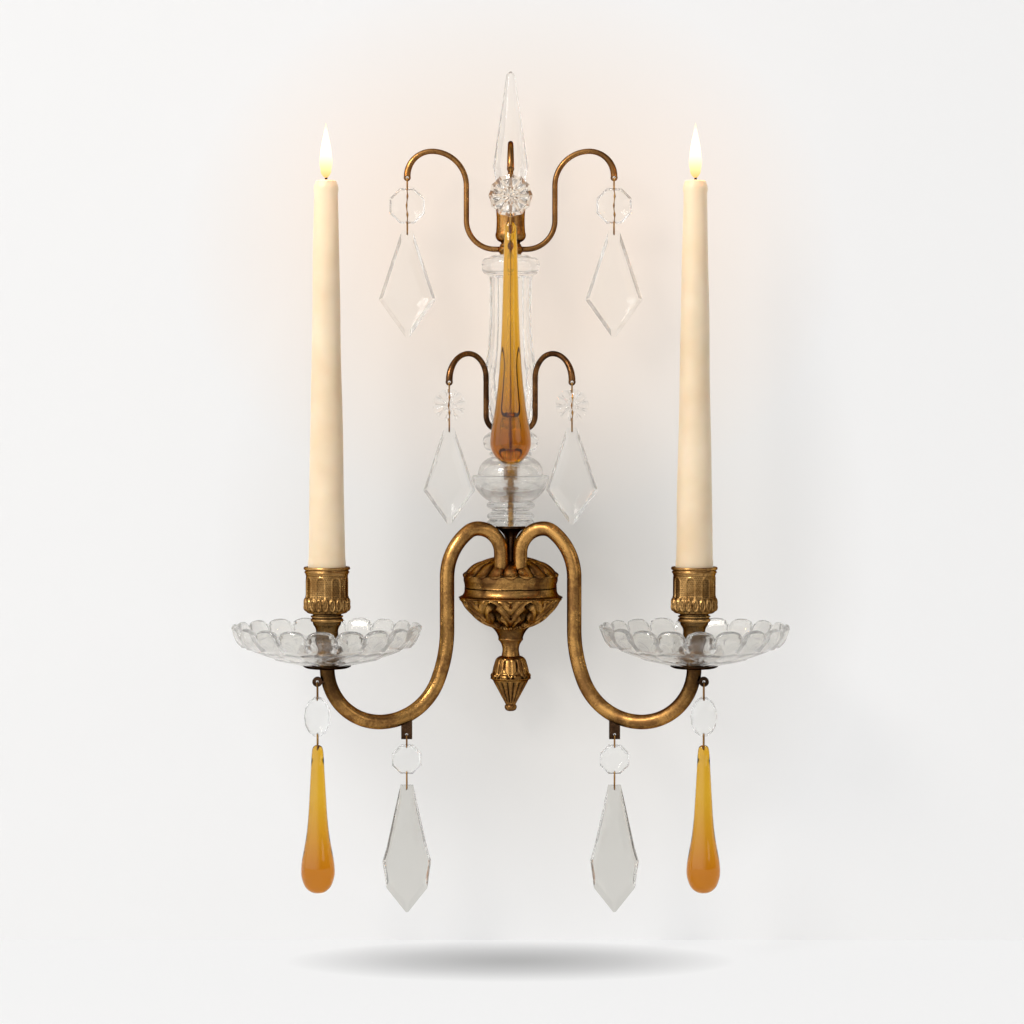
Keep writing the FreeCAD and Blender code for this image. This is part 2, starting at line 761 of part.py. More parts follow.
def make_glass_bell():
    """A bell of clear glass over the bowl, with a bead ring and a knop on top."""
    bore = s.rod_radius + s.glass_bore
    low = s.bell_bottom
    outline = [(bore, s.bell_ceiling)] + scaled(bell_inner_shares, s.bell_radius, low, s.bell_ceiling - low)
    outline += scaled(bell_shares, s.bell_radius, low, s.bell_top - low) + [(bore, s.bell_top)]
    keep("glass_bell", on_column(outline))


def polygon(sides, radius, x, y, z):
    """A regular polygon at a height, with a flat side to the front; the radius is to its corners."""
    corners = []
    for number in range(sides):
        angle = 2 * math.pi / sides * (number + 0.5)
        corners.append(V(x + radius * math.sin(angle), y - radius * math.cos(angle), z))
    return Part.makePolygon(corners + corners[:1])


def panelled(sides, sections):
    """A column with flat panels: straight faces between regular polygons (radius, height)."""
    wires = [polygon(sides, float(radius), 0.0, float(-s.column_depth), float(height))
             for radius, height in sections]
    return shape_feature(Part.makeLoft(wires, True, True))


def make_glass_column():
    """The tall panelled column of clear glass with its round flange."""
    bore = s.rod_radius + s.glass_bore
    low = s.glass_column_bottom
    top = s.glass_column_top
    across = s.glass_column_radius / math.cos(math.pi / column_panels)
    shaft = panelled(column_panels, scaled(glass_column_shares, across, low, top - low))
    outline = scaled(flange_shares, s.flange_radius, top, s.flange_top - top)
    flange = on_column([(0.0, top)] + outline + [(0.0, s.flange_top)])
    hole = cylinder(bore, s.flange_top - low, 0.0, -s.column_depth, low)
    keep("glass_column", cut(fuse([shaft, flange]), [hole]))


def make_spire():
    """The faceted glass spire and the brass cup that holds it."""
    low = s.spire_cup_bottom
    wide = s.spire_cup_radius
    wall = s.spire_cup_wall
    height = s.spire_cup_top - low
    floor = low + wall * 2
    rod_hole = s.rod_radius + s.seat_gap
    corner_share, floor_share = spire_cup_floor_shares
    keep("spire_cup", on_column([(rod_hole, low)] + scaled(spire_cup_shares, wide, low, height) + [
        (wide - wall, s.spire_cup_top),
        (wide - wall, low + height * spire_cup_hollow_share),
        (wide * corner_share, floor + wall, wide * floor_share, floor),
        (rod_hole, floor),
    ]))
    foot = floor + wall + s.seat_gap
    across = s.spire_radius / math.cos(math.pi / spire_sides)
    tip = s.spire_tip_radius / math.cos(math.pi / spire_sides)
    neck = wide - wall - s.seat_gap
    sections = scaled(spire_foot_shares, neck, foot, s.spire_cup_top - foot)
    sections += [
        (neck, s.spire_cup_top),
        (across, s.spire_shoulder),
        (tip, s.spire_tip - s.spire_tip_radius * (1 - spire_tip_share)),
        (tip * spire_tip_share, s.spire_tip),
    ]
    keep("spire", panelled(spire_sides, sections))


def sprig_directions(kind):
    """The heading of each sprig in degrees from the right, seen from above."""
    if kind == "upper":
        return {"upper_sprig_right": 0.0, "upper_sprig_left": 180.0, "upper_sprig_front": -90.0}
    turn = float(s.lower_sprig_turn)
    return {"lower_sprig_right": -turn, "lower_sprig_left": turn - 180.0}


def make_sprig_ring(kind, radius, bottom, top, root_height):
    """A brass ring on the rod, drilled for the roots of its sprigs."""
    axis = (0.0, -s.column_depth)
    blank = ring(radius, s.rod_radius + s.seat_gap, top - bottom, *axis, bottom)
    holes = []
    for heading in sprig_directions(kind).values():
        out = V(math.cos(math.radians(heading)), math.sin(math.radians(heading)), 0)
        start = radius - s.ring_socket_depth - s.seat_gap
        holes.append(cylinder(s.sprig_wire_radius + s.seat_gap, radius, start * out.x,
                              start * out.y - s.column_depth, root_height, out))
    keep(f"{kind}_sprig_ring", cut(blank, holes))


def eye_place(kind, heading):
    """Where the centre of a sprig's pierced eye is."""
    reach = getattr(s, f"{kind}_sprig_reach")
    height = getattr(s, f"{kind}_sprig_top") - getattr(s, f"{kind}_sprig_outer_bend") - s.eye_drop
    out = V(math.cos(math.radians(heading)), math.sin(math.radians(heading)), 0)
    return reach * out.x, reach * out.y - s.column_depth, height


def quarter(centre_across, centre_up, radius, side, end):
    """A quarter bend about a centre, through its middle, to its end."""
    slant = math.sqrt(0.5)
    return (centre_across + radius * slant * side[0], centre_up + radius * slant * side[1],
            centre_across + radius * end[0], centre_up + radius * end[1])


def make_sprig(kind, label, heading, ring_radius):
    """One wire sprig: out of the ring, up, and over to an eye whose hole faces the room."""
    root = getattr(s, f"{kind}_sprig_root_height")
    foot = getattr(s, f"{kind}_sprig_foot_bend")
    inner = getattr(s, f"{kind}_sprig_inner_bend")
    outer = getattr(s, f"{kind}_sprig_outer_bend")
    reach = getattr(s, f"{kind}_sprig_reach")
    top = getattr(s, f"{kind}_sprig_top")
    upright = reach - outer - inner
    wire = bent_rod([
        (ring_radius - s.ring_socket_depth, root),
        (upright - foot, root),
        quarter(upright - foot, root + foot, foot, (1, -1), (1, 0)),
        (upright, top - inner),
        quarter(upright + inner, top - inner, inner, (-1, 1), (0, 1)),
        quarter(reach - outer, top - outer, outer, (1, 1), (1, 0)),
    ], s.sprig_wire_radius, None, 0.0, -s.column_depth, heading)
    x, y, z = eye_place(kind, heading)
    half = s.eye_thickness / 2
    eye = cylinder(s.eye_radius, s.eye_thickness, x, y + half, z, V(0, -1, 0))
    hole = cylinder(s.link_hole_radius, s.eye_thickness * 2, x, y + s.eye_thickness, z, V(0, -1, 0))
    keep(label, cut(fuse([wire, eye]), [hole]))


# The arms


def arm_turn():
    """How far the arm's plane is turned forward from the wall, in degrees."""
    return math.degrees(math.atan2(s.cup_depth - s.arm_root_depth, s.cup_spacing - s.arm_root_spacing))


def arm_reach():
    """The length of the arm's plane, from its root to the cup's axis."""
    return math.hypot(s.cup_depth - s.arm_root_depth, s.cup_spacing - s.arm_root_spacing)


def on_arm(reach, side):
    """The x and y of a point at a distance along the arm's plane."""
    turn = math.radians(arm_turn())
    return (s.arm_root_spacing + reach * math.cos(turn)) * side, -s.arm_root_depth - reach * math.sin(turn)


def arm_bottom():
    """The reach and the height of the lowest point of the arm's centre line."""
    return arm_reach() - s.arm_bend_radius, s.arm_bend_height - s.arm_bend_radius


def bend_about(across, up, radius, start, end):
    """A bend about a centre between two angles in degrees, through its middle, to its end."""
    middle = math.radians((start + end) / 2)
    last = math.radians(end)
    return (across + radius * math.cos(middle), up + radius * math.sin(middle),
            across + radius * math.cos(last), up + radius * math.sin(last))


def make_arm(side):
    """A brass tube: up out of the cap, over in a lopsided loop, down, and round up to the cup."""
    rise = s.arm_rise_bend
    shoulder = s.arm_shoulder_bend
    top = s.arm_loop_top
    run = s.arm_run_reach
    hollow = s.arm_hollow_bend
    low_reach, low = arm_bottom()
    turn = math.radians(arm_shoulder_angle)
    shoulder_reach = rise + shoulder * math.sin(turn)
    slope = (run - shoulder_reach) / (1 - math.sin(turn))
    slope_height = top - shoulder + (shoulder - slope) * math.cos(turn)
    turn = math.radians(arm_hollow_angle)
    flank = (low_reach - hollow * math.sin(turn) - run) / (1 - math.sin(turn))
    flank_height = low + hollow + (flank - hollow) * math.cos(turn)
    heading = -arm_turn() if side > 0 else arm_turn() - 180
    tube = bent_rod([
        (0.0, s.arm_root_height),
        (0.0, top - rise),
        quarter(rise, top - rise, rise, (-1, 1), (0, 1)),
        bend_about(rise, top - shoulder, shoulder, 90, 90 - arm_shoulder_angle),
        bend_about(run - slope, slope_height, slope, 90 - arm_shoulder_angle, 0),
        (run, flank_height),
        bend_about(run + flank, flank_height, flank, 180, 270 - arm_hollow_angle),
        bend_about(low_reach, low + hollow, hollow, 270 - arm_hollow_angle, 270),
        quarter(low_reach, s.arm_bend_height, s.arm_bend_radius, (1, -1), (1, 0)),
    ], s.arm_tube_radius, s.arm_tube_radius - s.arm_wall, s.arm_root_spacing * side, -s.arm_root_depth,
        heading)
    keep(f"arm_{side_name(side)}", tube)


def arm_surface_below(reach):
    """The height of the tube's underside where the bend comes down to its lowest point."""
    low_reach, low = arm_bottom()
    outer = float(s.arm_hollow_bend + s.arm_tube_radius)
    return float(low + s.arm_hollow_bend) - math.sqrt(outer ** 2 - float(low_reach - reach) ** 2)


def make_arm_eyes():
    """Pierced lugs under each arm's bend, and pierced knobs beside its end, brazed to the tube."""
    solids = []
    low_reach, low = arm_bottom()
    for side in (-1, 1):
        x, y = on_arm(s.inner_eye_reach, side)
        z = s.inner_eye_height
        bottom = z - s.inner_lug_below
        top = arm_surface_below(s.inner_eye_reach) + s.arm_tube_radius
        half = s.inner_lug_thickness / 2
        lug = box(s.inner_lug_width, s.inner_lug_thickness, top - bottom, x - s.inner_lug_width / 2, y - half,
                  bottom)
        hollow = bend_ring(side, low_reach, low + s.arm_hollow_bend, s.arm_hollow_bend)
        solids.append(arm_lug(lug, hollow, x, y, z, s.inner_lug_thickness))
        x, y, z = s.outer_eye_spacing * side, -s.outer_eye_depth, s.outer_eye_height
        half = s.eye_thickness / 2
        eye = cylinder(s.eye_radius, s.eye_thickness, x, y + half, z, V(0, -1, 0))
        neck = cylinder(s.outer_neck_radius, s.outer_lug_reach, x, y, z, V(-side, 0, 0))
        end = bend_ring(side, low_reach, s.arm_bend_height, s.arm_bend_radius)
        solids.append(arm_lug(fuse([eye, neck]), end, x, y, z, s.eye_thickness))
    keep("arm_eyes", compound(solids))


def arm_lug(blank, bend, x, y, z, thickness):
    """A lug trimmed to the outside of its arm and pierced front to back."""
    hole = cylinder(s.link_hole_radius, thickness * 2, x, y + thickness, z, V(0, -1, 0))
    return cut(cut(blank, [hole]), [bend])


def bend_ring(side, centre_reach, centre_height, bend):
    """The whole ring that a bend of the arm belongs to, used to trim its lugs."""
    turn = math.radians(arm_turn())
    x, y = on_arm(centre_reach, side)
    torus = doc.addObject("Part::Torus", "Torus")
    bind(torus, "Radius1", bend)
    bind(torus, "Radius2", s.arm_tube_radius)
    across = V(math.sin(turn) * side, math.cos(turn), 0)
    torus.Placement = FreeCAD.Placement(V(0, 0, 0), FreeCAD.Rotation(V(0, 0, 1), across))
    bind_place(torus, x, y, centre_height)
    return torus


def arm_nuts():
    """Nuts on the arms' threaded roots, inside the urn, each cut flat beside the other."""
    bore = s.arm_tube_radius + s.seat_gap
    reach = s.arm_nut_radius * 2
    flat = s.arm_root_spacing - s.seat_gap
    solids = []
    for side in (-1, 1):
        x = s.arm_root_spacing * side
        nut = ring(s.arm_nut_radius, bore, s.arm_nut_height, x, -s.arm_root_depth, s.arm_root_height)
        beside = x + flat if side < 0 else x - flat - reach
        trim = box(reach, reach, s.arm_nut_height, beside, -s.arm_root_depth - s.arm_nut_radius,
                   s.arm_root_height)
        solids.append(cut(nut, [trim]))
    return solids


# The candle cups


def make_dish_pans():
    """Flat brass pans on the ends of the arms, under the glass dishes."""
    low = s.arm_bend_height
    top = low + s.pan_thickness
    pans = []
    for side in (-1, 1):
        pans.append(turned([
            (0.0, low),
            (s.pan_radius * pan_foot_share, low),
            (s.pan_radius, low + s.pan_thickness / 2),
            (s.pan_radius, top),
            (0.0, top),
        ], s.cup_spacing * side, -s.cup_depth))
    keep("dish_pans", compound(pans))


def make_dish(side):
    """A pressed glass drip dish with a scalloped rim, round the socket's stem."""
    low = s.pan_top
    rim = s.dish_rim_height
    wall = s.dish_wall
    hole = s.socket_stem_radius + s.dish_hole_clearance
    base = s.dish_base_radius
    wide = s.dish_radius
    floor = low + wall
    x = s.cup_spacing * side
    floor_share, floor_rise_share = dish_floor_shares
    outline = [(hole, low), (base, low)] + scaled(dish_shares, wide, low, rim - low - s.dish_edge)
    outline += [(wide - s.dish_edge, rim), (wide - wall, rim)]
    outline += scaled(dish_inner_shares, wide, floor, rim - floor)
    outline += [
        (wide * floor_share, floor + (rim - floor) * floor_rise_share, base, floor),
        (hole, floor),
    ]
    bowl = turned(outline, x, -s.cup_depth)
    scallops = []
    for number in range(dish_scallops):
        angle = 2 * math.pi / dish_scallops * number
        away = wide - s.dish_scallop_depth + s.dish_scallop_radius
        scallops.append(cylinder(s.dish_scallop_radius, rim - low, x + away * math.sin(angle),
                                 away * math.cos(angle) - s.cup_depth, (low + rim) / 2))
    keep(f"dish_{side_name(side)}", cut(bowl, scallops))


def make_socket(side):
    """The turned brass candle cup, with its stem through the dish."""
    low = s.pan_top
    top = s.socket_top
    height = top - low
    stem = s.socket_stem_radius
    bore = s.candle_base_radius + s.candle_clearance
    body = s.socket_body_radius
    outline = [(0.0, low), (stem, low), (stem, low + height * socket_funnel_share)]
    outline += scaled(socket_shares, s.socket_bulge_radius, low, height)
    outline += [(body, low + height * socket_shoulder_share), (body, top - s.socket_rim_depth)]
    step = s.socket_rim_depth / socket_rim_rings
    for number in range(socket_rim_rings):
        ring_low = top - s.socket_rim_depth + step * number
        outline.append((s.socket_rim_radius, ring_low + step / 2, body, ring_low + step))
    outline += [(bore, top), (bore, s.socket_floor), (0.0, s.socket_floor)]
    keep(f"socket_{side_name(side)}", turned(outline, s.cup_spacing * side, -s.cup_depth))


def make_candle(side):
    """A tapered candle standing on the socket's floor, with a wick set in its top."""
    x = s.cup_spacing * side
    y = -s.cup_depth
    low = s.socket_floor
    top = s.candle_top
    wide = s.candle_top_radius
    wick_hole = s.wick_radius + s.seat_gap
    outline = [(0.0, low), (s.candle_base_radius, low), (s.candle_base_radius, s.socket_top)]
    outline += [(wide, top - wide)] + scaled([candle_tip_shares], wide, top - wide, wide)
    outline += [(wick_hole, top), (wick_hole, top - s.wick_depth), (0.0, top - s.wick_depth)]
    keep(f"candle_{side_name(side)}", turned(outline, x, y))
    keep(f"wick_{side_name(side)}", cylinder(s.wick_radius, s.wick_length + s.wick_depth, x, y,
                                             top - s.wick_depth))


# The chains


def link_wire(x, y, low, high):
    """A closed link of bent wire in the plane x, between two wire centres."""
    half = float(s.link_width) / 2
    corner = float(s.link_corner)
    slant = corner * (1 - math.sqrt(0.5))
    path = []
    corners = [
        (y - half, low, 1, 1),
        (y - half, high, 1, -1),
        (y + half, high, -1, -1),
        (y + half, low, -1, 1),
    ]
    points = []
    for index, (across, up, to_side, to_up) in enumerate(corners):
        along_side = V(x, across + corner * to_side, up)
        along_up = V(x, across, up + corner * to_up)
        middle = V(x, across + slant * to_side, up + slant * to_up)
        points.append((along_side, middle, along_up) if index % 2 == 0 else (along_up, middle, along_side))
    for index, (begin, middle, end) in enumerate(points):
        path.append(Part.Arc(begin, middle, end).toShape())
        path.append(Part.LineSegment(end, points[(index + 1) % len(points)][0]).toShape())
    spine = Part.Wire(path)
    begin, middle, end = points[0]
    ring_edge = Part.Edge(Part.Circle(begin, V(0, 1, 0), float(s.link_wire_radius)))
    return spine.makePipeShell([Part.Wire([ring_edge])], True, True)


def facet_wire(outline, x, y, z, share, centre):
    """The outline in a plane parallel to the wall, shrunk towards a height on its axis."""
    corners = [V(x + across * share, y, z + centre + (up - centre) * share) for across, up in outline]
    return Part.makePolygon(corners + corners[:1])


def faceted(outline, edge, thickness, centre, x, y, z):
    """A flat-cut crystal: a girdle of the outline, with sloped facets to a smaller table each side."""
    share = crystal_table_share
    layers = [(-thickness / 2, share), (-edge / 2, 1.0), (edge / 2, 1.0), (thickness / 2, share)]
    wires = [facet_wire(outline, x, y + offset, z, scale, centre) for offset, scale in layers]
    return Part.makeLoft(wires, True, True)


def mirrored_outline(shares, half_width, height):
    """Both sides of an outline that is given for its right side, from the top down."""
    right = [(half_width * across, height * up) for across, up in shares]
    return right + [(-across, up) for across, up in reversed(right)]


def pierce(shape, x, y, z):
    depth = float(s.bead_thickness + s.drop_thickness)
    hole = Part.makeCylinder(float(s.link_hole_radius), depth * 2, V(x, y - depth, z), V(0, 1, 0))
    return shape.cut(hole)


def bead_shape(sides, half_width, half_height, x, y, z):
    """A round or oval cut bead, pierced near its top and bottom."""
    across = 1 / math.cos(math.pi / sides)
    outline = []
    for number in range(sides):
        angle = 2 * math.pi / sides * (number + 0.5)
        outline.append((half_width * across * math.sin(angle), half_height * across * math.cos(angle)))
    shape = faceted(outline, float(s.bead_edge), float(s.bead_thickness), 0.0, x, y, z)
    inset = half_height - float(s.bead_hole_inset)
    return pierce(pierce(shape, x, y, z + inset), x, y, z - inset)


def cut_drop_shape(shares, half_width, length, x, y, top):
    """A flat-cut drop that hangs from a hole at its narrow top."""
    outline = mirrored_outline(shares, half_width, length)
    centre = length * kite_centre_share
    shape = faceted(outline, float(s.drop_edge), float(s.drop_thickness), centre, x, y, top - length)
    return pierce(shape, x, y, top - float(s.drop_hole_inset))


def amber_drop_shape(shares, radius, length, x, y, top):
    """A round amber drop, drawn out to a stalk whose top is pressed flat and pierced."""
    bottom = top - length
    points = [V(x, y, bottom)] + [V(x + radius * across, y, bottom + length * up) for across, up in shares]
    side = Part.BSplineCurve()
    start = V(1, 0, 0)
    end = V(0, 0, 1)
    side.interpolate(Points=points, InitialTangent=start, FinalTangent=end)
    close_top = Part.LineSegment(points[-1], V(x, y, top))
    axis = Part.LineSegment(V(x, y, top), points[0])
    profile = Part.Face(Part.Wire([side.toShape(), close_top.toShape(), axis.toShape()]))
    drop = profile.revolve(V(x, y, 0), V(0, 0, 1), 360)
    tab = float(s.amber_tab_thickness)
    for side_sign in (-1, 1):
        near = y + tab / 2 if side_sign > 0 else y - tab / 2 - radius
        block = Part.makeBox(radius * 2, radius, float(s.amber_tab_length) * 2,
                             V(x - radius, near, top - float(s.amber_tab_length)))
        drop = drop.cut(block)
    return pierce(drop, x, y, top - float(s.drop_hole_inset))


def make_chain(label, eye, bead, drop):
    """One chain from a pierced eye: a link, a bead, a link and a drop."""
    x, y, z = (float(value) for value in eye)
    sides, half_width, half_height, fall = bead
    shape_maker, shares, drop_width, length, gap = drop
    slack = float(s.link_hole_radius - s.link_wire_radius - s.link_gap)
    bead_height = z - fall
    inset = half_height - float(s.bead_hole_inset)
    drop_top = bead_height - half_height - gap
    upper = link_wire(x, y, bead_height + inset + slack, z - slack)
    lower = link_wire(x, y, drop_top - float(s.drop_hole_inset) + slack, bead_height - inset - slack)
    keep(f"{label}_links", shape_feature(Part.makeCompound([upper, lower])))
    keep(f"{label}_bead", shape_feature(bead_shape(sides, half_width, half_height, x, y, bead_height)))
    keep(f"{label}_drop", shape_feature(shape_maker(shares, drop_width, length, x, y, drop_top)))
    print(f"{label}: first pivot {x:.3f} {y:.3f} {z - slack:.3f},"
          f" second pivot {x:.3f} {y:.3f} {drop_top - float(s.drop_hole_inset) + slack:.3f}")


def make_chains():
    """Nine chains: three on the upper sprigs, two on the lower, and two on each arm."""
    upper = {label: eye_place("upper", heading) for label, heading in sprig_directions("upper").items()}
    lower = {label: eye_place("lower", heading) for label, heading in sprig_directions("lower").items()}
    kite = cut_drop_shape
    for name in ("left", "right"):
        side = -1 if name == "left" else 1
        make_chain(f"upper_{name}", upper[f"upper_sprig_{name}"],
                   (bead_sides, float(s.upper_bead_radius), float(s.upper_bead_radius),
                    float(s.upper_bead_fall)),
                   (kite, kite_shares, float(s.upper_kite_half_width), float(s.upper_kite_length),
                    float(s.upper_kite_gap)))
        make_chain(f"lower_{name}", lower[f"lower_sprig_{name}"],
                   (rosette_sides, float(s.lower_bead_radius), float(s.lower_bead_radius),
                    float(s.lower_bead_fall)),
                   (kite, kite_shares, float(s.lower_kite_half_width), float(s.lower_kite_length),
                    float(s.lower_kite_gap)))
        inner_x, inner_y = on_arm(s.inner_eye_reach, side)
        make_chain(f"inner_{name}", (inner_x, inner_y, s.inner_eye_height),
                   (bead_sides, float(s.inner_bead_radius), float(s.inner_bead_radius),
                    float(s.inner_bead_fall)),
                   (kite, pendalogue_shares, float(s.inner_drop_half_width), float(s.inner_drop_length),
                    float(s.inner_drop_gap)))
        make_chain(f"outer_{name}", (s.outer_eye_spacing * side, -s.outer_eye_depth, s.outer_eye_height),
                   (rosette_sides, float(s.outer_bead_half_width), float(s.outer_bead_half_height),
                    float(s.outer_bead_fall)),
                   (amber_drop_shape, short_amber_shares, float(s.outer_amber_radius),
                    float(s.outer_amber_length), float(s.outer_amber_gap)))
    make_chain("front", upper["upper_sprig_front"],
               (rosette_sides, float(s.front_bead_radius), float(s.front_bead_radius),
                float(s.front_bead_fall)),
               (amber_drop_shape, long_amber_shares, float(s.front_amber_radius),
                float(s.front_amber_length), float(s.front_amber_gap)))


def build():
    fill_sheet()
    make_urn_bowl()
    make_urn_cap()
    make_hanger_plate()
    make_hanger_screws()
    make_finial()
    make_stem_collar()
    make_rod_hardware()
    make_glass_foot()
    make_glass_bowl()
    make_glass_bell()
    make_glass_column()
    make_spire()
    make_sprig_ring("upper", s.upper_ring_radius, s.upper_ring_bottom, s.upper_ring_top,
                    s.upper_sprig_root_height)
    make_sprig_ring("lower", s.lower_ring_radius, s.lower_ring_bottom, s.lower_ring_top,
                    s.lower_sprig_root_height)
    for label, heading in sprig_directions("upper").items():
        make_sprig("upper", label, heading, s.upper_ring_radius)
    for label, heading in sprig_directions("lower").items():
        make_sprig("lower", label, heading, s.lower_ring_radius)
    for side in (-1, 1):
        make_arm(side)
        make_dish(side)
        make_socket(side)
        make_candle(side)
    make_arm_eyes()
    make_dish_pans()
    make_chains()
    doc.recompute()


def check():
    """Stop before anything is written if an object failed or a shape isn't sound."""
    for thing in doc.Objects:
        if "Invalid" in thing.State or "Error" in thing.State:
            raise RuntimeError(f"{thing.Label} failed: {thing.State}")
    for label, thing in nodes.items():
        shape = thing.Shape
        if shape.isNull() or not shape.isValid() or not shape.Solids:
            raise RuntimeError(f"{label} has no sound solid")


def write():
    os.makedirs("parts", exist_ok=True)
    for label, thing in nodes.items():
        thing.Shape.exportStep(os.path.join("parts", f"{label}.step"))
    print(len(nodes), "nodes written")


build()
check()
write()
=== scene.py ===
"""Candle wall sconce: the finishes and the fine modelling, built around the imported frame."""
import bmesh
import bpy
import json
import math
from mathutils import Matrix, Vector

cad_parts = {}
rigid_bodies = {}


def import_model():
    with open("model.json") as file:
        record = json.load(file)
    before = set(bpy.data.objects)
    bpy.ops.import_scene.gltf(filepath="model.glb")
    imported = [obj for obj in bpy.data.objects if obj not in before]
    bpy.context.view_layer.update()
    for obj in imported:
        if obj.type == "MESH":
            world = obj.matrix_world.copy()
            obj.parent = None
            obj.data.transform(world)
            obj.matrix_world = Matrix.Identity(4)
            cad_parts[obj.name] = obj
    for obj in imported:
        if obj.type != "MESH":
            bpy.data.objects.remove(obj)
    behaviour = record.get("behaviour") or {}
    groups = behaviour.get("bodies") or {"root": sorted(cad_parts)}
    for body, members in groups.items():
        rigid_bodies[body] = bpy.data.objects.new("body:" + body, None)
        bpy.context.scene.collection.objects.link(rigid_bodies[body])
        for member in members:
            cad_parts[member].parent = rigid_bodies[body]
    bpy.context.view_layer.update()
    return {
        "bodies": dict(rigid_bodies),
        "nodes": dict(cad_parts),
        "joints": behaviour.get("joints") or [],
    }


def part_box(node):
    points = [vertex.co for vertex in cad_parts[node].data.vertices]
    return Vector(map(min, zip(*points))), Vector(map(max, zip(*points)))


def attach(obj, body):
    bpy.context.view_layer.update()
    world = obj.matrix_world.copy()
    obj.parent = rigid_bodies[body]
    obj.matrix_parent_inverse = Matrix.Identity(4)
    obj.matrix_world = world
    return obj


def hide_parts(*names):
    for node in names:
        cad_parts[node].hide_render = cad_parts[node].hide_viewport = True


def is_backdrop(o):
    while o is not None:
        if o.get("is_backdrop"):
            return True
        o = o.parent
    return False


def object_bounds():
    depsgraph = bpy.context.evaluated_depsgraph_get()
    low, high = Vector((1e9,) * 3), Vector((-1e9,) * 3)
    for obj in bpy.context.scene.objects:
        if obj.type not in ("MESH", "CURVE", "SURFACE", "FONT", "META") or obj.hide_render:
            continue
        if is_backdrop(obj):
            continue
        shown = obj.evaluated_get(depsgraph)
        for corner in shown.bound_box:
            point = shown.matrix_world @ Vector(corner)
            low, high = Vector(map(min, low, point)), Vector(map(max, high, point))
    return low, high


bl_info = {
    "name": "Candle wall sconce",
    "version": (1, 0, 0),
    "blender": (4, 5, 0),
    "location": "3D View > Sidebar > Sconce",
    "description": "Models a brass and cut glass candle sconce piece by piece",
    "category": "Add Mesh",
}

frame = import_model()
MM = 0.001
# The fewest steps in an arc, the distance at which two vertices are one, and twice the area in
# square metres under which three points count as a straight line.
ARC_STEPS = 4
SAME_PLACE = 0.001 * MM
STRAIGHT = 1e-12
SIDES = {"left": -1, "right": 1}
CHAIN_EYES = {}
MADE = {}
# The hole for the rod in the brass pieces, and the thickness of a flat crystal at its edge.
BRASS_BORE = 2.0 * MM
GIRDLE = 2.2 * MM
# Half the width of the wall and the floor, and how far the wall stands behind the sconce's back.
STAGE_REACH = 1.6
WALL_GAP = 3 * MM
FACE_FRONT = Matrix.Rotation(math.pi / 2, 3, "X")
# The colour sockets of a Mix node, whose names it also gives to its number and vector sockets.
MIX_FIRST, MIX_SECOND, MIX_RESULT = 6, 7, 2
# Painted shade on an arm near its cup, root and a chain's eye: how far it is full and how far it reaches,
# in millimetres, and its strength.
ARM_SPOTS = {"cup": (8, 30, 0.8), "root": (2, 14, 0.7), "eye": (6, 15, 0.6)}

# Outlines as shares of a piece's own radius and height, from the bottom up.
# A point is (across, up) and an arc is (middle across, middle up, end across, end up).
CAP_SHARES = [
    (0.0, 1.0), (0.34, 0.975, 0.62, 0.79), (0.78, 0.65, 0.90, 0.43), (0.94, 0.33, 1.0, 0.22), (0.99, 0.14),
    (0.95, 0.08), (0.86, 0.0), (0.80, 0.30, 0.68, 0.50), (0.40, 0.76, 0.0, 0.84),
]
# After this many items the cap's outline is on its inside.
CAP_OUTER_ITEMS = 5.0
BAND_SHARES = [
    (0.1, 1.25), (0.1, 0.94), (-0.05, 0.78, -0.1, 0.6), (-0.05, 0.57), (-0.3, 0.54), (-0.05, 0.51),
    (0.0, 0.30, 0.35, 0.12), (0.93, 0.035), (1.0, 0.02), (1.0, -0.02), (0.8, -0.05),
]
BOWL_SHARES = [
    (0.965, 0.95), (0.88, 0.75, 0.76, 0.585), (0.60, 0.40, 0.37, 0.265), (0.285, 0.15, 0.235, 0.0),
]
FINIAL_SHARES = [
    (0.58, 1.0), (0.60, 0.985, 0.58, 0.97), (0.43, 0.90, 0.41, 0.80), (0.44, 0.755),
    (0.62, 0.735, 0.74, 0.695), (0.84, 0.60, 0.90, 0.52), (0.99, 0.49, 1.0, 0.468), (0.97, 0.445),
    (0.86, 0.425), (0.82, 0.40), (0.255, 0.10), (0.235, 0.088), (0.275, 0.08),
    (0.29, 0.045, 0.22, 0.012), (0.12, 0.0, 0.0, 0.0),
]
SOCKET_SHARES = [
    (0.0, 0.0), (0.478, 0.0), (0.478, 0.33), (0.49, 0.375, 0.58, 0.41), (0.605, 0.43), (0.605, 0.442),
    (0.68, 0.448), (0.70, 0.462), (0.69, 0.474), (0.64, 0.48), (0.64, 0.488), (0.69, 0.494), (0.69, 0.505),
    (0.61, 0.512), (0.61, 0.522), (0.80, 0.532), (0.97, 0.56, 1.0, 0.615), (0.985, 0.67, 0.925, 0.70),
    (0.912, 0.715), (0.912, 0.925), (0.925, 0.937), (0.965, 0.947, 0.925, 0.957), (0.915, 0.965),
    (0.985, 0.975), (0.99, 0.99, 0.965, 1.0), (0.905, 1.0),
]
DISH_SHARES = [
    (0.50, 0.125, 0.776, 0.37), (0.91, 0.56, 0.985, 0.86), (0.998, 0.93), (0.985, 0.985, 0.955, 1.0),
]
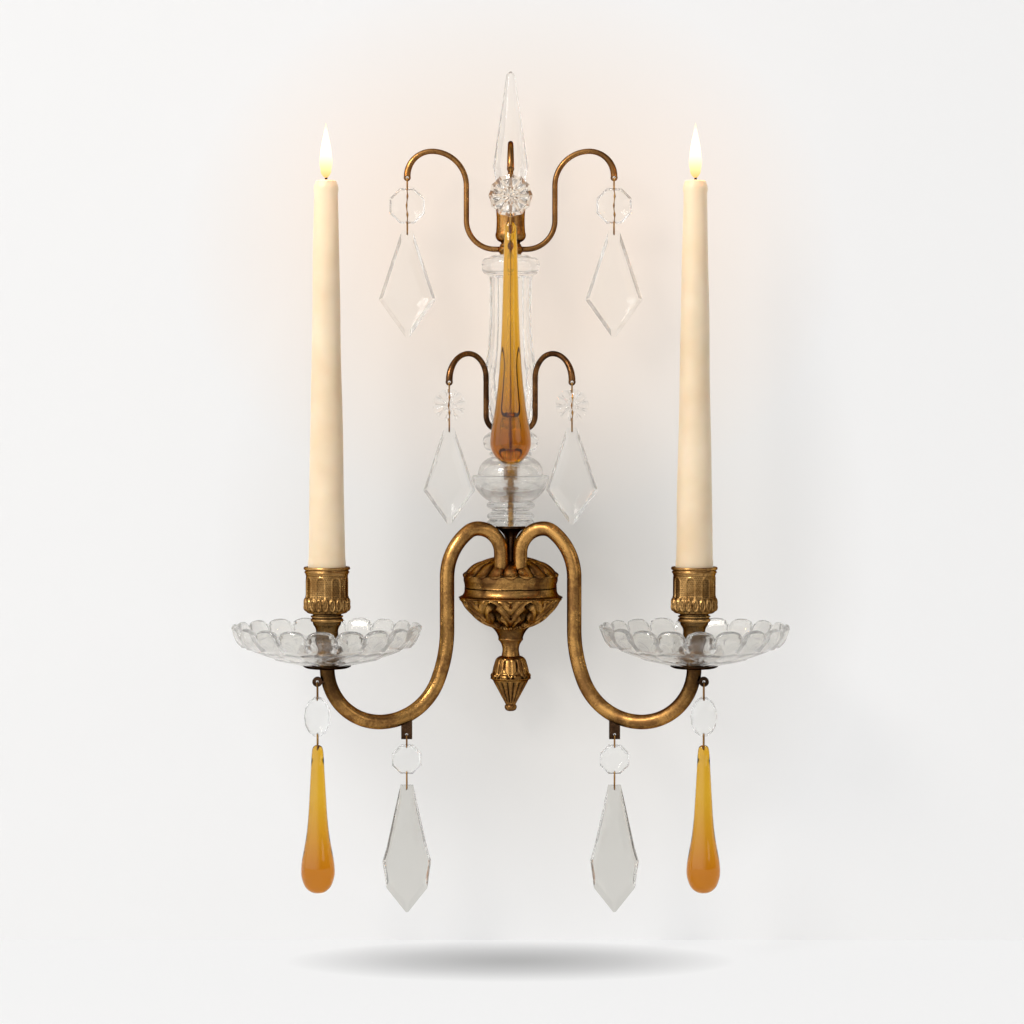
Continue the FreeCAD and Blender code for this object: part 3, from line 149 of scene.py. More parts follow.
# Rows of petals: where their heads are, how far the row is set over, and how long a petal is.
PETAL_ROWS = [(1.02, 0.0, 0.30), (0.76, 0.5, 0.34), (0.44, 0.0, 0.44)]
DISH_INNER_SHARES = [(0.93, 0.90), (0.875, 0.63, 0.747, 0.385), (0.494, 0.12)]
FOOT_SHARES = [
    (0.62, 0.0), (0.86, 0.0), (0.98, 0.06, 0.96, 0.2), (0.90, 0.27), (0.98, 0.36, 0.93, 0.5), (0.80, 0.58),
    (0.78, 0.68), (0.92, 0.73), (1.0, 0.83, 0.88, 1.0),
]
BELL_SHARES = [
    (0.87, 0.0), (0.985, 0.005), (1.0, 0.03), (0.93, 0.21, 0.67, 0.40), (0.56, 0.43), (0.53, 0.445),
    (0.65, 0.49, 0.53, 0.535), (0.56, 0.56), (0.76, 0.60, 0.82, 0.70), (0.85, 0.80, 0.76, 0.93),
    (0.64, 1.0),
]
BELL_HOLLOW_SHARES = [(0.40, 1.0), (0.80, 0.55, 0.87, 0.0)]
COLUMN_SHARES = [
    (0.62, 0.0), (0.68, 0.015), (0.71, 0.055), (0.80, 0.13, 0.93, 0.235), (0.97, 0.275, 0.90, 0.33),
    (0.79, 0.46, 0.74, 0.58), (0.73, 0.75, 0.74, 0.872), (0.79, 0.885), (0.93, 0.905, 0.96, 0.935),
    (0.94, 0.968, 0.74, 0.99), (0.64, 1.0),
]
SPIRE_CUP_SHARES = [
    (0.62, 0.0), (0.66, 0.05), (0.93, 0.12, 0.98, 0.30), (0.94, 0.55, 0.97, 0.85), (1.0, 0.90), (1.0, 0.97),
    (0.95, 1.0), (0.86, 1.0), (0.86, 0.30), (0.62, 0.12), (0.3, 0.10),
]
CANDLE_TIP_SHARES = [
    (1.0, 0.0), (1.03, 0.55, 0.93, 0.82), (0.86, 1.0, 0.62, 0.98), (0.45, 0.86, 0.16, 0.78),
]
FLAME_SHARES = [
    (0.0, 0.0), (0.55, 0.05, 0.85, 0.16), (1.0, 0.27, 0.93, 0.40), (0.72, 0.60, 0.40, 0.78),
    (0.16, 0.92, 0.0, 1.0),
]
KITE_SHARES = [(0.19, 1.0), (1.0, 0.35), (0.07, 0.0)]
PENDALOGUE_SHARES = [(0.26, 1.0), (0.83, 0.51), (1.0, 0.40), (0.84, 0.19), (0.05, 0.0)]
LONG_AMBER_SHARES = [
    (0.0, 0.0), (0.42, 0.008), (0.76, 0.033), (0.95, 0.065), (1.0, 0.095), (0.93, 0.15), (0.78, 0.22),
    (0.617, 0.33), (0.50, 0.45), (0.42, 0.60), (0.361, 0.772), (0.32, 0.90), (0.28, 0.975), (0.16, 1.0),
]
SHORT_AMBER_SHARES = [
    (0.0, 0.0), (0.42, 0.010), (0.76, 0.045), (0.95, 0.10), (1.0, 0.15), (0.95, 0.22), (0.84, 0.29),
    (0.70, 0.38), (0.58, 0.50), (0.49, 0.66), (0.41, 0.82), (0.35, 0.94), (0.28, 0.985), (0.14, 1.0),
]


def length(label, size_mm, words):
    """A length property; its default is given in millimetres."""
    return bpy.props.FloatProperty(name=label, description=words, default=size_mm * MM, unit="LENGTH",
                                   subtype="DISTANCE")


def turn(label, degrees, words):
    """An angle property; its default is given in degrees."""
    return bpy.props.FloatProperty(name=label, description=words, default=math.radians(degrees),
                                   unit="ROTATION", subtype="ANGLE")


def count(label, number, words):
    """A whole number property."""
    return bpy.props.IntProperty(name=label, description=words, default=number, min=1)


def colour(label, code, words):
    """A colour property; its default is an sRGB hex value."""
    return bpy.props.FloatVectorProperty(name=label, description=words, default=linear(code), size=4,
                                         subtype="COLOR", min=0.0, max=1.0)


def linear(code):
    """Turn an sRGB hex value into linear red, green, blue and alpha."""
    parts = [int(code[start:start + 2], 16) / 255 for start in (1, 3, 5)]
    return tuple(part / 12.92 if part <= 0.04045 else ((part + 0.055) / 1.055) ** 2.4
                 for part in parts) + (1.0,)


class SconceSizes(bpy.types.PropertyGroup):
    """Sizes a maker would change."""
    urn_flutes: count("Cap flutes", 18, "Lobes round the urn's cap")
    urn_leaves: count("Bowl leaves", 8, "Acanthus leaves round the urn's bowl")
    flute_depth: length("Flute depth", 1.7, "Depth of the valleys between the cap's lobes")
    leaf_relief: length("Leaf relief", 2.5, "How deep the carving between the leaves goes")
    finial_relief: length("Finial relief", 1.1, "Depth of the carving on the finial")
    finial_flutes: count("Finial flutes", 16, "Flutes round the finial's point")
    arch_count: count("Socket arches", 8, "Round-headed panels round the candle cup")
    arch_half_width: length("Arch half width", 2.75, "Half a panel's width, to the middle of its frame")
    arch_relief: length("Arch relief", 0.65, "Depth of a panel")
    stipple_pitch: length("Stipple pitch", 1.1, "Distance between the punched dots round the panels")
    gadroons: count("Gadroons", 20, "Ribs round the candle cup's bulge")
    dish_petals: count("Dish petals", 20, "Pressed petals round the drip dish")
    petal_relief: length("Petal relief", 1.2, "Depth between the dish's petals")
    petal_round: length("Petal rounding", 4.2, "How far the rim dips between two petals")
    dish_wall: length("Dish wall", 3.2, "Thickness of the dish at its rim")
    arm_radius: length("Arm radius", 4.3, "Outer radius of the arm's tube")
    arm_root_spacing: length("Arm root spacing", 5.6, "Distance of an arm's root from the middle")
    arm_root_depth: length("Arm root depth", 31.6, "Distance of an arm's root from the wall")
    arm_root_height: length("Arm root height", 7.0, "Height at which the tube leaves the nut")
    arm_rise_bend: length("Arm rise bend", 14.6, "Bend of the loop over the urn")
    arm_loop_top: length("Arm loop top", 38.7, "Height of the loop's highest point")
    arm_shoulder_bend: length("Arm shoulder bend", 9.6, "Tighter bend where the loop turns down")
    arm_shoulder_angle: turn("Arm shoulder angle", 37.4, "How far the shoulder turns")
    arm_run_reach: length("Arm run reach", 33.55, "Distance from an arm's root to its upright run")
    arm_hollow_bend: length("Arm hollow bend", 37.0, "Inner bend of the wide hollow")
    arm_hollow_angle: turn("Arm hollow angle", 68.0, "How far the hollow's inner bend turns")
    arm_bend_radius: length("Arm bend radius", 32.7, "Radius of the wide bend")
    arm_bend_height: length("Arm bend height", -41.2, "Height of the wide bend's centre")
    sprig_radius: length("Sprig wire radius", 1.6, "Radius of the sprigs' wire")
    upper_reach: length("Upper sprig reach", 61.2, "Distance from the column to an upper sprig's eye")
    upper_root: length("Upper sprig root", 203.8, "Height of the upper sprigs' roots")
    upper_foot_bend: length("Upper foot bend", 17.0, "First bend of an upper sprig")
    upper_inner_bend: length("Upper inner bend", 20.4, "Second bend of an upper sprig")
    upper_outer_bend: length("Upper outer bend", 14.6, "Last bend of an upper sprig")
    upper_top: length("Upper sprig top", 261.6, "Height of an upper sprig's wire centre")
    lower_reach: length("Lower sprig reach", 50.4, "Distance from the column to a lower sprig's eye")
    lower_root: length("Lower sprig root", 97.7, "Height of the lower sprigs' roots")
    lower_foot_bend: length("Lower foot bend", 8.0, "First bend of a lower sprig")
    lower_inner_bend: length("Lower inner bend", 14.2, "Second bend of a lower sprig")
    lower_outer_bend: length("Lower outer bend", 15.8, "Last bend of a lower sprig")
    lower_top: length("Lower sprig top", 141.6, "Height of a lower sprig's wire centre")
    eye_radius: length("Eye radius", 2.1, "Outer radius of a pierced eye")
    hole_radius: length("Hole radius", 0.85, "Radius of the holes that links pass through")
    rod_bore: length("Rod bore", 2.3, "Radius of the hole through the glass")
    flame_height: length("Flame height", 32.0, "Height of a candle's flame")
    flame_radius: length("Flame radius", 3.7, "Widest radius of a candle's flame")
    fine_step: length("Fine step", 0.45, "Mesh step on carved metal")
    glass_step: length("Glass step", 0.9, "Mesh step on glass and wax")


class SconceColours(bpy.types.PropertyGroup):
    """Colours a maker would change."""
    brass: colour("Brass", "#b0844a", "Rubbed parts of the aged brass")
    brass_patina: colour("Brass patina", "#785530", "Aged brass between the rubbed parts")
    # Brass patina and shade: patina left in the carving, and shade painted into hollows, under overhangs
    # and near joints.
    brass_patina_and_shade: colour("Brass recess", "#24160a", "Patina that is left in the carving")
    brass_edge: colour("Brass edge", "#6b4f2c", "Brown that aged brass keeps where light grazes it")
    cup_brass: colour("Cup brass", "#bd945c", "Rubbed parts of the candle cups")
    cup_patina: colour("Cup patina", "#8f6a3d", "Patina between the candle cups' rubbed parts")
    # The darker brass below paints shade on the collar between the arms, the pans under the dishes and the
    # arms' eyes.
    burnt_brass: colour("Burnt brass", "#4a3524", "Brass that heat and soot have browned")
    burnt_patina: colour("Burnt patina", "#2c1e14", "Darkest parts of the burnt brass")
    wire: colour("Wire", "#b08a50", "Drawn brass wire of the links")
    sprig: colour("Sprig", "#946a3c", "Rubbed parts of the upper sprigs")
    sprig_patina: colour("Sprig patina", "#6c4b2a", "Patina of the upper sprigs")
    sprig_dark: colour("Dark sprig", "#6e4c2c", "Rubbed parts of the browned lower sprigs")
    sprig_dark_patina: colour("Dark sprig patina", "#3d281a", "Patina of the lower sprigs")
    steel: colour("Steel", "#8f8f8c", "Zinc-plated steel")
    steel_dark: colour("Dark steel", "#6f706f", "Darker grains of the zinc")
    glass: colour("Glass", "#fafbfa", "Clear lead glass")
    smoky_glass: colour("Smoky glass", "#dddcd7", "The slightly grey glass of the lowest drops")
    dish_glass: colour("Dish glass", "#eeede9", "Pressed glass of the drip dishes")
    amber: colour("Amber", "#e4b02c", "Amber glass, thin")
    amber_thick: colour("Thick amber", "#c87a02", "Amber glass where it is thick")
    amber_front: colour("Front amber", "#a86000", "Amber glass of the long front drop where it is thick")
    bead_white: colour("Bead white", "#f4efe6", "Pressed glass of the front bead")
    wax: colour("Wax", "#e9d8bd", "Ivory wax")
    wax_deep: colour("Deep wax", "#e0caa9", "Ivory wax between its paler clouds")
    wax_lit: colour("Lit wax", "#fbe3c2", "Wax that the flame shines through")
    char: colour("Char", "#1c1512", "Charred wick")
    ash: colour("Ash", "#3a302a", "Ashy strands of the wick")
    flame_foot: colour("Flame foot", "#f0b46a", "The flame's foot")
    flame_low: colour("Low flame", "#ffd9a0", "The flame round the wick")
    flame_core: colour("Flame core", "#fff6e2", "The flame's hottest part")
    flame_high: colour("High flame", "#fff0d2", "The flame over its hottest part")
    flame_tip: colour("Flame tip", "#ffd28c", "The flame's tip")
    # The wall's painted shadow behind the urn, fading outwards, and the flames' painted warm glow on it.
    wall_painted_shadow: colour("Wall near", "#cbc8c3", "Backdrop close behind the urn")
    wall_painted_half_shadow: colour("Wall middle", "#e7e5e2", "Backdrop between the urn and the edge")
    wall_edge: colour("Wall edge", "#f2f2f2", "Backdrop away from the sconce")
    wall_far: colour("Wall far", "#f3f3f3", "Floor and room all round")
    wall_painted_glow: colour("Wall warm", "#f4e3d3", "Backdrop that the flames warm")
    floor_shade: colour("Floor shade", "#a6a6a6", "Middle of the soft shadow under the sconce")
    floor_half_shade: colour("Floor half shade", "#cecece", "The soft shadow half-way out")
    lamp_light: colour("Lamp light", "#fffaf4", "Light of the lamps")
    warm_light: colour("Warm light", "#ffb469", "Light of the flames")


def sizes():
    """The sizes that the operators use."""
    return bpy.context.scene.sconce_sizes


def colours():
    """The colours that the materials use."""
    return bpy.context.scene.sconce_colours


# Materials


def add_node(tree, kind, inputs=None, stops=(), **settings):
    """Add a node with its settings, set or link its inputs, and give a colour ramp its stops."""
    node = tree.nodes.new(kind)
    for name, value in settings.items():
        setattr(node, name, value)
    for name, value in (inputs or {}).items():
        if isinstance(value, bpy.types.NodeSocket):
            tree.links.new(value, node.inputs[name])
        else:
            node.inputs[name].default_value = value
    if stops:
        elements = node.color_ramp.elements
        elements.remove(elements[-1])
        elements[0].position, elements[0].color = stops[0]
        for position, shade in stops[1:]:
            elements.new(position).color = shade
    return node


def new_material(name):
    """A material with an empty node tree, and that tree."""
    material = bpy.data.materials.new(name)
    material.use_nodes = True
    tree = material.node_tree
    tree.nodes.clear()
    return material, tree


def finish_material(material, surface):
    """Link a surface to the material's output."""
    add_node(material.node_tree, "ShaderNodeOutputMaterial", {"Surface": surface})
    return material


def noise(tree, grain_mm, detail=4.0, stretch=(1.0, 1.0, 1.0)):
    """Noise whose grain has a real size, on the piece's own coordinates."""
    place = add_node(tree, "ShaderNodeTexCoord")
    scale = [1 / (grain_mm * MM) * share for share in stretch]
    mapping = add_node(tree, "ShaderNodeMapping", {"Vector": place.outputs["Object"], "Scale": scale})
    grain = add_node(tree, "ShaderNodeTexNoise", {
        "Vector": mapping.outputs["Vector"], "Scale": 1.0, "Detail": detail, "Roughness": 0.6})
    return grain.outputs["Fac"]


def height_share(tree, low, high):
    """Zero at one height of the piece and one at another."""
    place = add_node(tree, "ShaderNodeTexCoord")
    split = add_node(tree, "ShaderNodeSeparateXYZ", {"Vector": place.outputs["Object"]})
    share = add_node(tree, "ShaderNodeMapRange", {
        "Value": split.outputs["Z"], "From Min": low, "From Max": high})
    return share.outputs["Result"]


def grey(value):
    """A plain level, as a colour."""
    return (value, value, value, 1.0)


def aged_brass(name, bright, patina, grit):
    """Cast brass, browned and then rubbed: bright on high parts, dark with patina and painted shade in the
    carving.
    """
    shades = colours()
    speckle_share, grain_strength, grain_depth = 0.45, 0.10, 0.2 * MM
    material, tree = new_material(name)
    speckle = noise(tree, grain_mm=1.3, detail=3.0)
    blend = add_node(tree, "ShaderNodeMath", {0: speckle, 1: speckle_share, 2: noise(tree, grain_mm=11.0)},
                     operation="MULTIPLY_ADD").outputs[0]
    rubbed = add_node(tree, "ShaderNodeValToRGB", {"Fac": blend}, [
        (0.62, getattr(shades, patina)), (0.84, getattr(shades, bright))])
    # This attribute darkens the carving with patina, and paints shade into hollows, under overhangs and
    # near joints.
    carved = add_node(tree, "ShaderNodeAttribute", attribute_name="recess")
    base = add_node(tree, "ShaderNodeMix", {
        "Factor": carved.outputs["Fac"], MIX_FIRST: rubbed.outputs["Color"],
        MIX_SECOND: shades.brass_patina_and_shade}, data_type="RGBA")
    rough = add_node(tree, "ShaderNodeValToRGB", {"Fac": blend}, [(0.6, grey(0.36)), (0.9, grey(0.23))])
    bump = add_node(tree, "ShaderNodeBump", {
        "Height": speckle, "Strength": grain_strength + grit, "Distance": grain_depth})
    shader = add_node(tree, "ShaderNodeBsdfPrincipled", {
        "Base Color": base.outputs[MIX_RESULT], "Metallic": 1.0, "Roughness": rough.outputs["Color"],
        "Specular Tint": shades.brass_edge, "Normal": bump.outputs["Normal"]})
    return finish_material(material, shader.outputs["BSDF"])


def zinc_steel():
    """Zinc-plated pressed steel: flat grey with a faint spangle."""
    shades = colours()
    material, tree = new_material("zinc_plated_steel")
    shade = add_node(tree, "ShaderNodeValToRGB", {"Fac": noise(tree, grain_mm=3.0)}, [
        (0.35, shades.steel_dark), (0.65, shades.steel)])
    shader = add_node(tree, "ShaderNodeBsdfPrincipled", {
        "Base Color": shade.outputs["Color"], "Metallic": 1.0, "Roughness": 0.42})
    return finish_material(material, shader.outputs["BSDF"])


def cut_glass(name, tint, rough, alpha):
    """Lead glass, cut or pressed: clear, with faint grey edges and a slight waviness."""
    wave_depth = 0.3 * MM
    material, tree = new_material(name)
    bump = add_node(tree, "ShaderNodeBump", {
        "Height": noise(tree, grain_mm=7.0, detail=2.0), "Strength": 0.06, "Distance": wave_depth})
    shader = add_node(tree, "ShaderNodeBsdfPrincipled", {
        "Base Color": getattr(colours(), tint), "Roughness": rough, "IOR": 1.46,
        "Transmission Weight": 1.0, "Alpha": alpha, "Normal": bump.outputs["Normal"]})
    return finish_material(material, shader.outputs["BSDF"])


def amber_glass(name, low, high, deep, thick):
    """Drawn amber glass: pale honey in the thin stalk, deeper in the thick drop."""
    fade = 0.5
    material, tree = new_material(name)
    shade = add_node(tree, "ShaderNodeValToRGB", {"Fac": height_share(tree, low, high)}, [
        (0.0, thick), (deep, thick), (deep + fade, colours().amber)])
    shader = add_node(tree, "ShaderNodeBsdfPrincipled", {
        "Base Color": shade.outputs["Color"], "Roughness": 0.02, "IOR": 1.42, "Specular IOR Level": 0.25,
        "Transmission Weight": 1.0})
    return finish_material(material, shader.outputs["BSDF"])


def ivory_wax():
    """Dipped candle wax: ivory, soft and slightly see-through, paler where the flame shines into it."""
    shades = colours()
    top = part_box("wick_left")[0].z
    lit_length, ripple_depth = 60 * MM, 0.4 * MM
    red_reach, green_reach, blue_reach = 8 * MM, 5 * MM, 3 * MM
    material, tree = new_material("dipped_ivory_wax")
    clouds = add_node(tree, "ShaderNodeValToRGB", {"Fac": noise(tree, grain_mm=30.0, detail=2.0)}, [
        (0.3, shades.wax_deep), (0.7, shades.wax)])
    lit = add_node(tree, "ShaderNodeValToRGB", {"Fac": height_share(tree, top - lit_length, top)}, [
        (0.0, grey(0.0)), (1.0, grey(0.85))])
    base = add_node(tree, "ShaderNodeMix", {
        "Factor": lit.outputs["Color"], MIX_FIRST: clouds.outputs["Color"], MIX_SECOND: shades.wax_lit},
        data_type="RGBA")
    ripple = noise(tree, grain_mm=7.0, detail=1.0, stretch=(1.0, 1.0, 0.3))
    bump = add_node(tree, "ShaderNodeBump", {"Height": ripple, "Strength": 0.08, "Distance": ripple_depth})
    shader = add_node(tree, "ShaderNodeBsdfPrincipled", {
        "Base Color": base.outputs[MIX_RESULT], "Roughness": 0.42, "IOR": 1.45, "Subsurface Weight": 0.3,
        "Subsurface Radius": (red_reach, green_reach, blue_reach), "Subsurface Scale": 1.0,
        "Normal": bump.outputs["Normal"]})
    return finish_material(material, shader.outputs["BSDF"])


def charred_wick():
    """Braided cotton wick, charred black with an ashy twist."""
    shades = colours()
    material, tree = new_material("charred_cotton_wick")
    twist = noise(tree, grain_mm=0.8, detail=2.0, stretch=(1.0, 1.0, 0.4))
    shade = add_node(tree, "ShaderNodeValToRGB", {"Fac": twist}, [(0.3, shades.char), (0.7, shades.ash)])
    shader = add_node(tree, "ShaderNodeBsdfPrincipled", {
        "Base Color": shade.outputs["Color"], "Roughness": 0.95})
    return finish_material(material, shader.outputs["BSDF"])


def candle_flame():
    """A still candle flame: honey at its foot and its tip, white hot between them."""
    shades = colours()
    wick_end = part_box("wick_left")[1].z
    below, above = 4 * MM, 30 * MM
    material, tree = new_material("candle_flame")
    height = height_share(tree, wick_end - below, wick_end + above)
    shade = add_node(tree, "ShaderNodeValToRGB", {"Fac": height}, [
        (0.0, shades.flame_foot), (0.18, shades.flame_low), (0.45, shades.flame_core),
        (0.8, shades.flame_high), (1.0, shades.flame_tip)])
    shader = add_node(tree, "ShaderNodeEmission", {"Color": shade.outputs["Color"], "Strength": 1.6})
    return finish_material(material, shader.outputs["Emission"])


def finish(name):
    """A finish by its name, made once and shared."""
    if name not in MADE:
        if name in BRASSES:
            MADE[name] = aged_brass(*BRASSES[name])
        elif name in GLASSES:
            MADE[name] = cut_glass(*GLASSES[name])
        else:
            MADE[name] = OTHER_FINISHES[name]()
    return MADE[name]


# Cast and drawn brass: the material, its rubbed colour, its patina, and how gritty it is.
BRASSES = {
    "brass": ("cast_aged_brass", "brass", "brass_patina", 0.0),
    "cup_brass": ("stippled_cast_brass", "cup_brass", "cup_patina", 0.3),
    # A darker brass that paints shade on the collar, the pans and the arms' eyes.
    "burnt": ("burnt_brass", "burnt_brass", "burnt_patina", 0.0),
    "dark": ("browned_brass", "sprig_dark", "sprig_dark_patina", 0.0),
    "sprig": ("bent_brass_wire", "sprig", "sprig_patina", 0.0),
    "wire": ("drawn_brass_wire", "wire", "brass_patina", 0.0),
}
# Lead glass: the material, its tint, its roughness, and how much it hides what is straight behind it.
GLASSES = {
    "glass": ("polished_lead_glass", "glass", 0.01, 0.72),
    "smoky": ("smoky_lead_glass", "smoky_glass", 0.03, 0.95),
    "pressed": ("pressed_lead_glass", "bead_white", 0.03, 0.85),
    "dish": ("pressed_dish_glass", "dish_glass", 0.015, 0.82),
    "thin": ("thin_lead_glass", "glass", 0.05, 0.42),
}
OTHER_FINISHES = {"steel": zinc_steel, "wax": ivory_wax, "wick": charred_wick, "flame": candle_flame}


# Mesh tools


def arc_points(start, middle, end, step):
    """Points along the circle through three points in a plane, after its start."""
    ax, ay, bx, by, cx, cy = *start, *middle, *end
    double = 2 * (ax * (by - cy) + bx * (cy - ay) + cx * (ay - by))
    if abs(double) < STRAIGHT:
        return line_points(start, end, step)
    a2, b2, c2 = ax * ax + ay * ay, bx * bx + by * by, cx * cx + cy * cy
    centre = Vector(((a2 * (by - cy) + b2 * (cy - ay) + c2 * (ay - by)) / double,
                     (a2 * (cx - bx) + b2 * (ax - cx) + c2 * (bx - ax)) / double))
    first, halfway, last = [math.atan2(point[1] - centre.y, point[0] - centre.x)
                            for point in (start, middle, end)]
    sweep = (last - first) % math.tau
    if (halfway - first) % math.tau > sweep:
        sweep -= math.tau
    radius = math.hypot(start[0] - centre.x, start[1] - centre.y)
    steps = max(ARC_STEPS, math.ceil(abs(sweep) * radius / step))
    return [(centre.x + radius * math.cos(first + sweep * n / steps),
             centre.y + radius * math.sin(first + sweep * n / steps)) for n in range(1, steps + 1)]


def line_points(start, end, step):
    """Points along a straight line, after its start."""
    steps = max(1, math.ceil(math.dist(start, end) / step))
    return [(start[0] + (end[0] - start[0]) * n / steps, start[1] + (end[1] - start[1]) * n / steps)
            for n in range(1, steps + 1)]


def outline(items, step, plain_from=None):
    """Points (across, up, along) of corners and arcs; along counts the items passed.

    Items from plain_from on are never carved, so they get a few points only.
    """
    last = items[0][-2:]
    points = [(*last, 0.0)]
    for number, item in enumerate(items[1:]):
        if plain_from is not None and number + 1 >= plain_from:
            step = math.inf
        if len(item) == 4:
            span = arc_points(last, item[:2], item[2:], step)
        else:
            span = line_points(last, item, step)
        points += [(*point, number + (n + 1) / len(span)) for n, point in enumerate(span)]
        last = item[-2:]
    return points


def scaled(shares, radius, low, height):
    """Outline items from shares of a radius and of a height above a level."""
    return [tuple(low + height * share if index % 2 else radius * share for index, share in enumerate(item))
            for item in shares]


def spun(points, centre, steps, closed=False):
    """A surface spun about a vertical line; each vertex keeps how far along the outline it is."""
    mesh = bmesh.new()
    layer = mesh.verts.layers.float.new("along")
    verts = []
    for across, up, along in points:
        vert = mesh.verts.new((centre[0], centre[1] - max(across, 0.0), up))
        vert[layer] = along
        verts.append(vert)
    edges = [mesh.edges.new(pair) for pair in zip(verts, verts[1:])]
    if closed:
        edges.append(mesh.edges.new((verts[-1], verts[0])))
    bmesh.ops.spin(mesh, geom=verts + edges, cent=(centre[0], centre[1], 0.0), axis=(0, 0, 1),
                   dvec=(0, 0, 0), angle=math.tau, steps=steps, use_merge=True, use_duplicate=False)
    bmesh.ops.remove_doubles(mesh, verts=mesh.verts, dist=SAME_PLACE)
    bmesh.ops.recalc_face_normals(mesh, faces=mesh.faces)
    mesh.normal_update()
    return mesh


def carve(mesh, centre, relief):
    """Sink each vertex along its normal; relief(angle, radius, height, along) gives depth, lift, and patina
    with painted shade.
    """
    along = mesh.verts.layers.float["along"]
    recess = mesh.verts.layers.float.new("recess")
    normals = [vert.normal.copy() for vert in mesh.verts]
    for vert, normal in zip(mesh.verts, normals):
        x, y = vert.co.x - centre[0], vert.co.y - centre[1]
        depth, lift, dark = relief(math.atan2(x, -y), math.hypot(x, y), vert.co.z, vert[along])
        vert.co -= normal * depth
        vert.co.z += lift
        vert[recess] = min(max(dark, 0.0), 1.0)


def new_object(name, data):
    """An object in the scene."""
    thing = bpy.data.objects.new(name, data)
    bpy.context.scene.collection.objects.link(thing)
    return thing


def mesh_object(name, mesh, material):
    """An object in the scene that holds a finished mesh and its material."""
    data = bpy.data.meshes.new(name)
    mesh.to_mesh(data)
    mesh.free()
    data.materials.append(material)
    return new_object(name, data)


def piece(name, mesh, material, body, replaced=(), sharp=35.0):
    """Make a finished object of a mesh, with smooth faces and sharp edges, riding on a body."""
    thing = mesh_object(name, mesh, material)
    for face in thing.data.polygons:
        face.use_smooth = True
    thing.data.set_sharp_from_angle(angle=math.radians(sharp))
    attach(thing, body)
    if replaced:
        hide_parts(*replaced)
    return thing


def dress(node, material):
    """Give a piece of the frame its finish."""
    data = frame["nodes"][node].data
    data.materials.clear()
    data.materials.append(material)


def middle_of(node):
    """The middle of a node, seen from above."""
    low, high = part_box(node)
    return (low.x + high.x) / 2, (low.y + high.y) / 2


def axis_of(node):
    """The centre line, radius, lowest height and height of a round node."""
    low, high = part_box(node)
    radius = (high.x - low.x) / 2
    return ((low.x + high.x) / 2, low.y + radius), radius, low.z, high.z - low.z


def lobe(angle, number):
    """One at the middle of a lobe and zero in the sharp valley between two."""
    return abs(math.cos(angle * number / 2))


def side_of(repeats):
    """Where a place lies across its repeat, from -1 to 1 with 0 in the middle."""
    return 2 * (repeats - round(repeats))


def smooth(value, low, high):
    """A soft step from zero below low to one above high."""
    share = min(max((value - low) / (high - low), 0.0), 1.0)
    return share * share * (3 - 2 * share)


def cut_back(mesh):
    """Cut a shell at the wall's plane and close the cut."""
    geometry = mesh.verts[:] + mesh.edges[:] + mesh.faces[:]
    result = bmesh.ops.bisect_plane(mesh, geom=geometry, plane_co=(0, 0, 0), plane_no=(0, 1, 0),
                                    clear_outer=True)
    edges = [item for item in result["geom_cut"] if isinstance(item, bmesh.types.BMEdge)]
    bmesh.ops.holes_fill(mesh, edges=edges, sides=0)
    bmesh.ops.recalc_face_normals(mesh, faces=mesh.faces)


def tube(name, path, radii, material, body, replaced=(), sides=8):
    """A round wire or tube along points, closed at its ends."""
    curve = bpy.data.curves.new(name, "CURVE")
    curve.dimensions = "3D"
    curve.bevel_depth = 1.0
    curve.bevel_resolution = sides
    curve.use_fill_caps = True
    spline = curve.splines.new("POLY")
    spline.points.add(len(path) - 1)
    for point, place, radius in zip(spline.points, path, radii):
        point.co = (*place, 1.0)
        point.radius = radius
    carrier = new_object(name + "_line", curve)
    data = bpy.data.meshes.new_from_object(carrier.evaluated_get(bpy.context.evaluated_depsgraph_get()))
    bpy.data.objects.remove(carrier)
    mesh = bmesh.new()
    mesh.from_mesh(data)
    bpy.data.meshes.remove(data)
    bmesh.ops.remove_doubles(mesh, verts=mesh.verts, dist=SAME_PLACE)
    bmesh.ops.recalc_face_normals(mesh, faces=mesh.faces)
    return piece(name, mesh, material, body, replaced)


def plane_path(items, origin, heading, step):
    """An outline drawn in a vertical plane through a point, as places in space."""
    return [Vector((origin[0] + across * math.cos(heading), origin[1] + across * math.sin(heading), up))
            for across, up, _ in outline(items, step)]


def quarter(centre_across, centre_up, radius, side, end):
    """A quarter bend about a centre, through its middle, to its end."""
    slant = math.sqrt(0.5)
    return (centre_across + radius * slant * side[0], centre_up + radius * slant * side[1],
            centre_across + radius * end[0], centre_up + radius * end[1])


def joined(meshes):
    """One mesh of several, for a piece made of separate solids."""
    whole = bmesh.new()
    for mesh in meshes:
        data = bpy.data.meshes.new("part")
        mesh.to_mesh(data)
        mesh.free()
        whole.from_mesh(data)
        bpy.data.meshes.remove(data)
    return whole


def eyelet(place, outer, inner, thickness):
    """A round pierced eye whose hole runs front to back, with a soft edge."""
    half = thickness / 2
    lip, shoulder, steps = inner * 1.25, outer * 0.8, 28
    ring = [(inner, -half * 0.7), (lip, -half), (shoulder, -half), (outer, -half * 0.4),
            (outer, half * 0.4), (shoulder, half), (lip, half), (inner, half * 0.7)]
    mesh = spun([(across, up, 0.0) for across, up in ring], (0.0, 0.0), steps, closed=True)
    bmesh.ops.rotate(mesh, verts=mesh.verts, cent=(0, 0, 0), matrix=FACE_FRONT)
    bmesh.ops.translate(mesh, verts=mesh.verts, vec=place)
    return mesh


# The urn


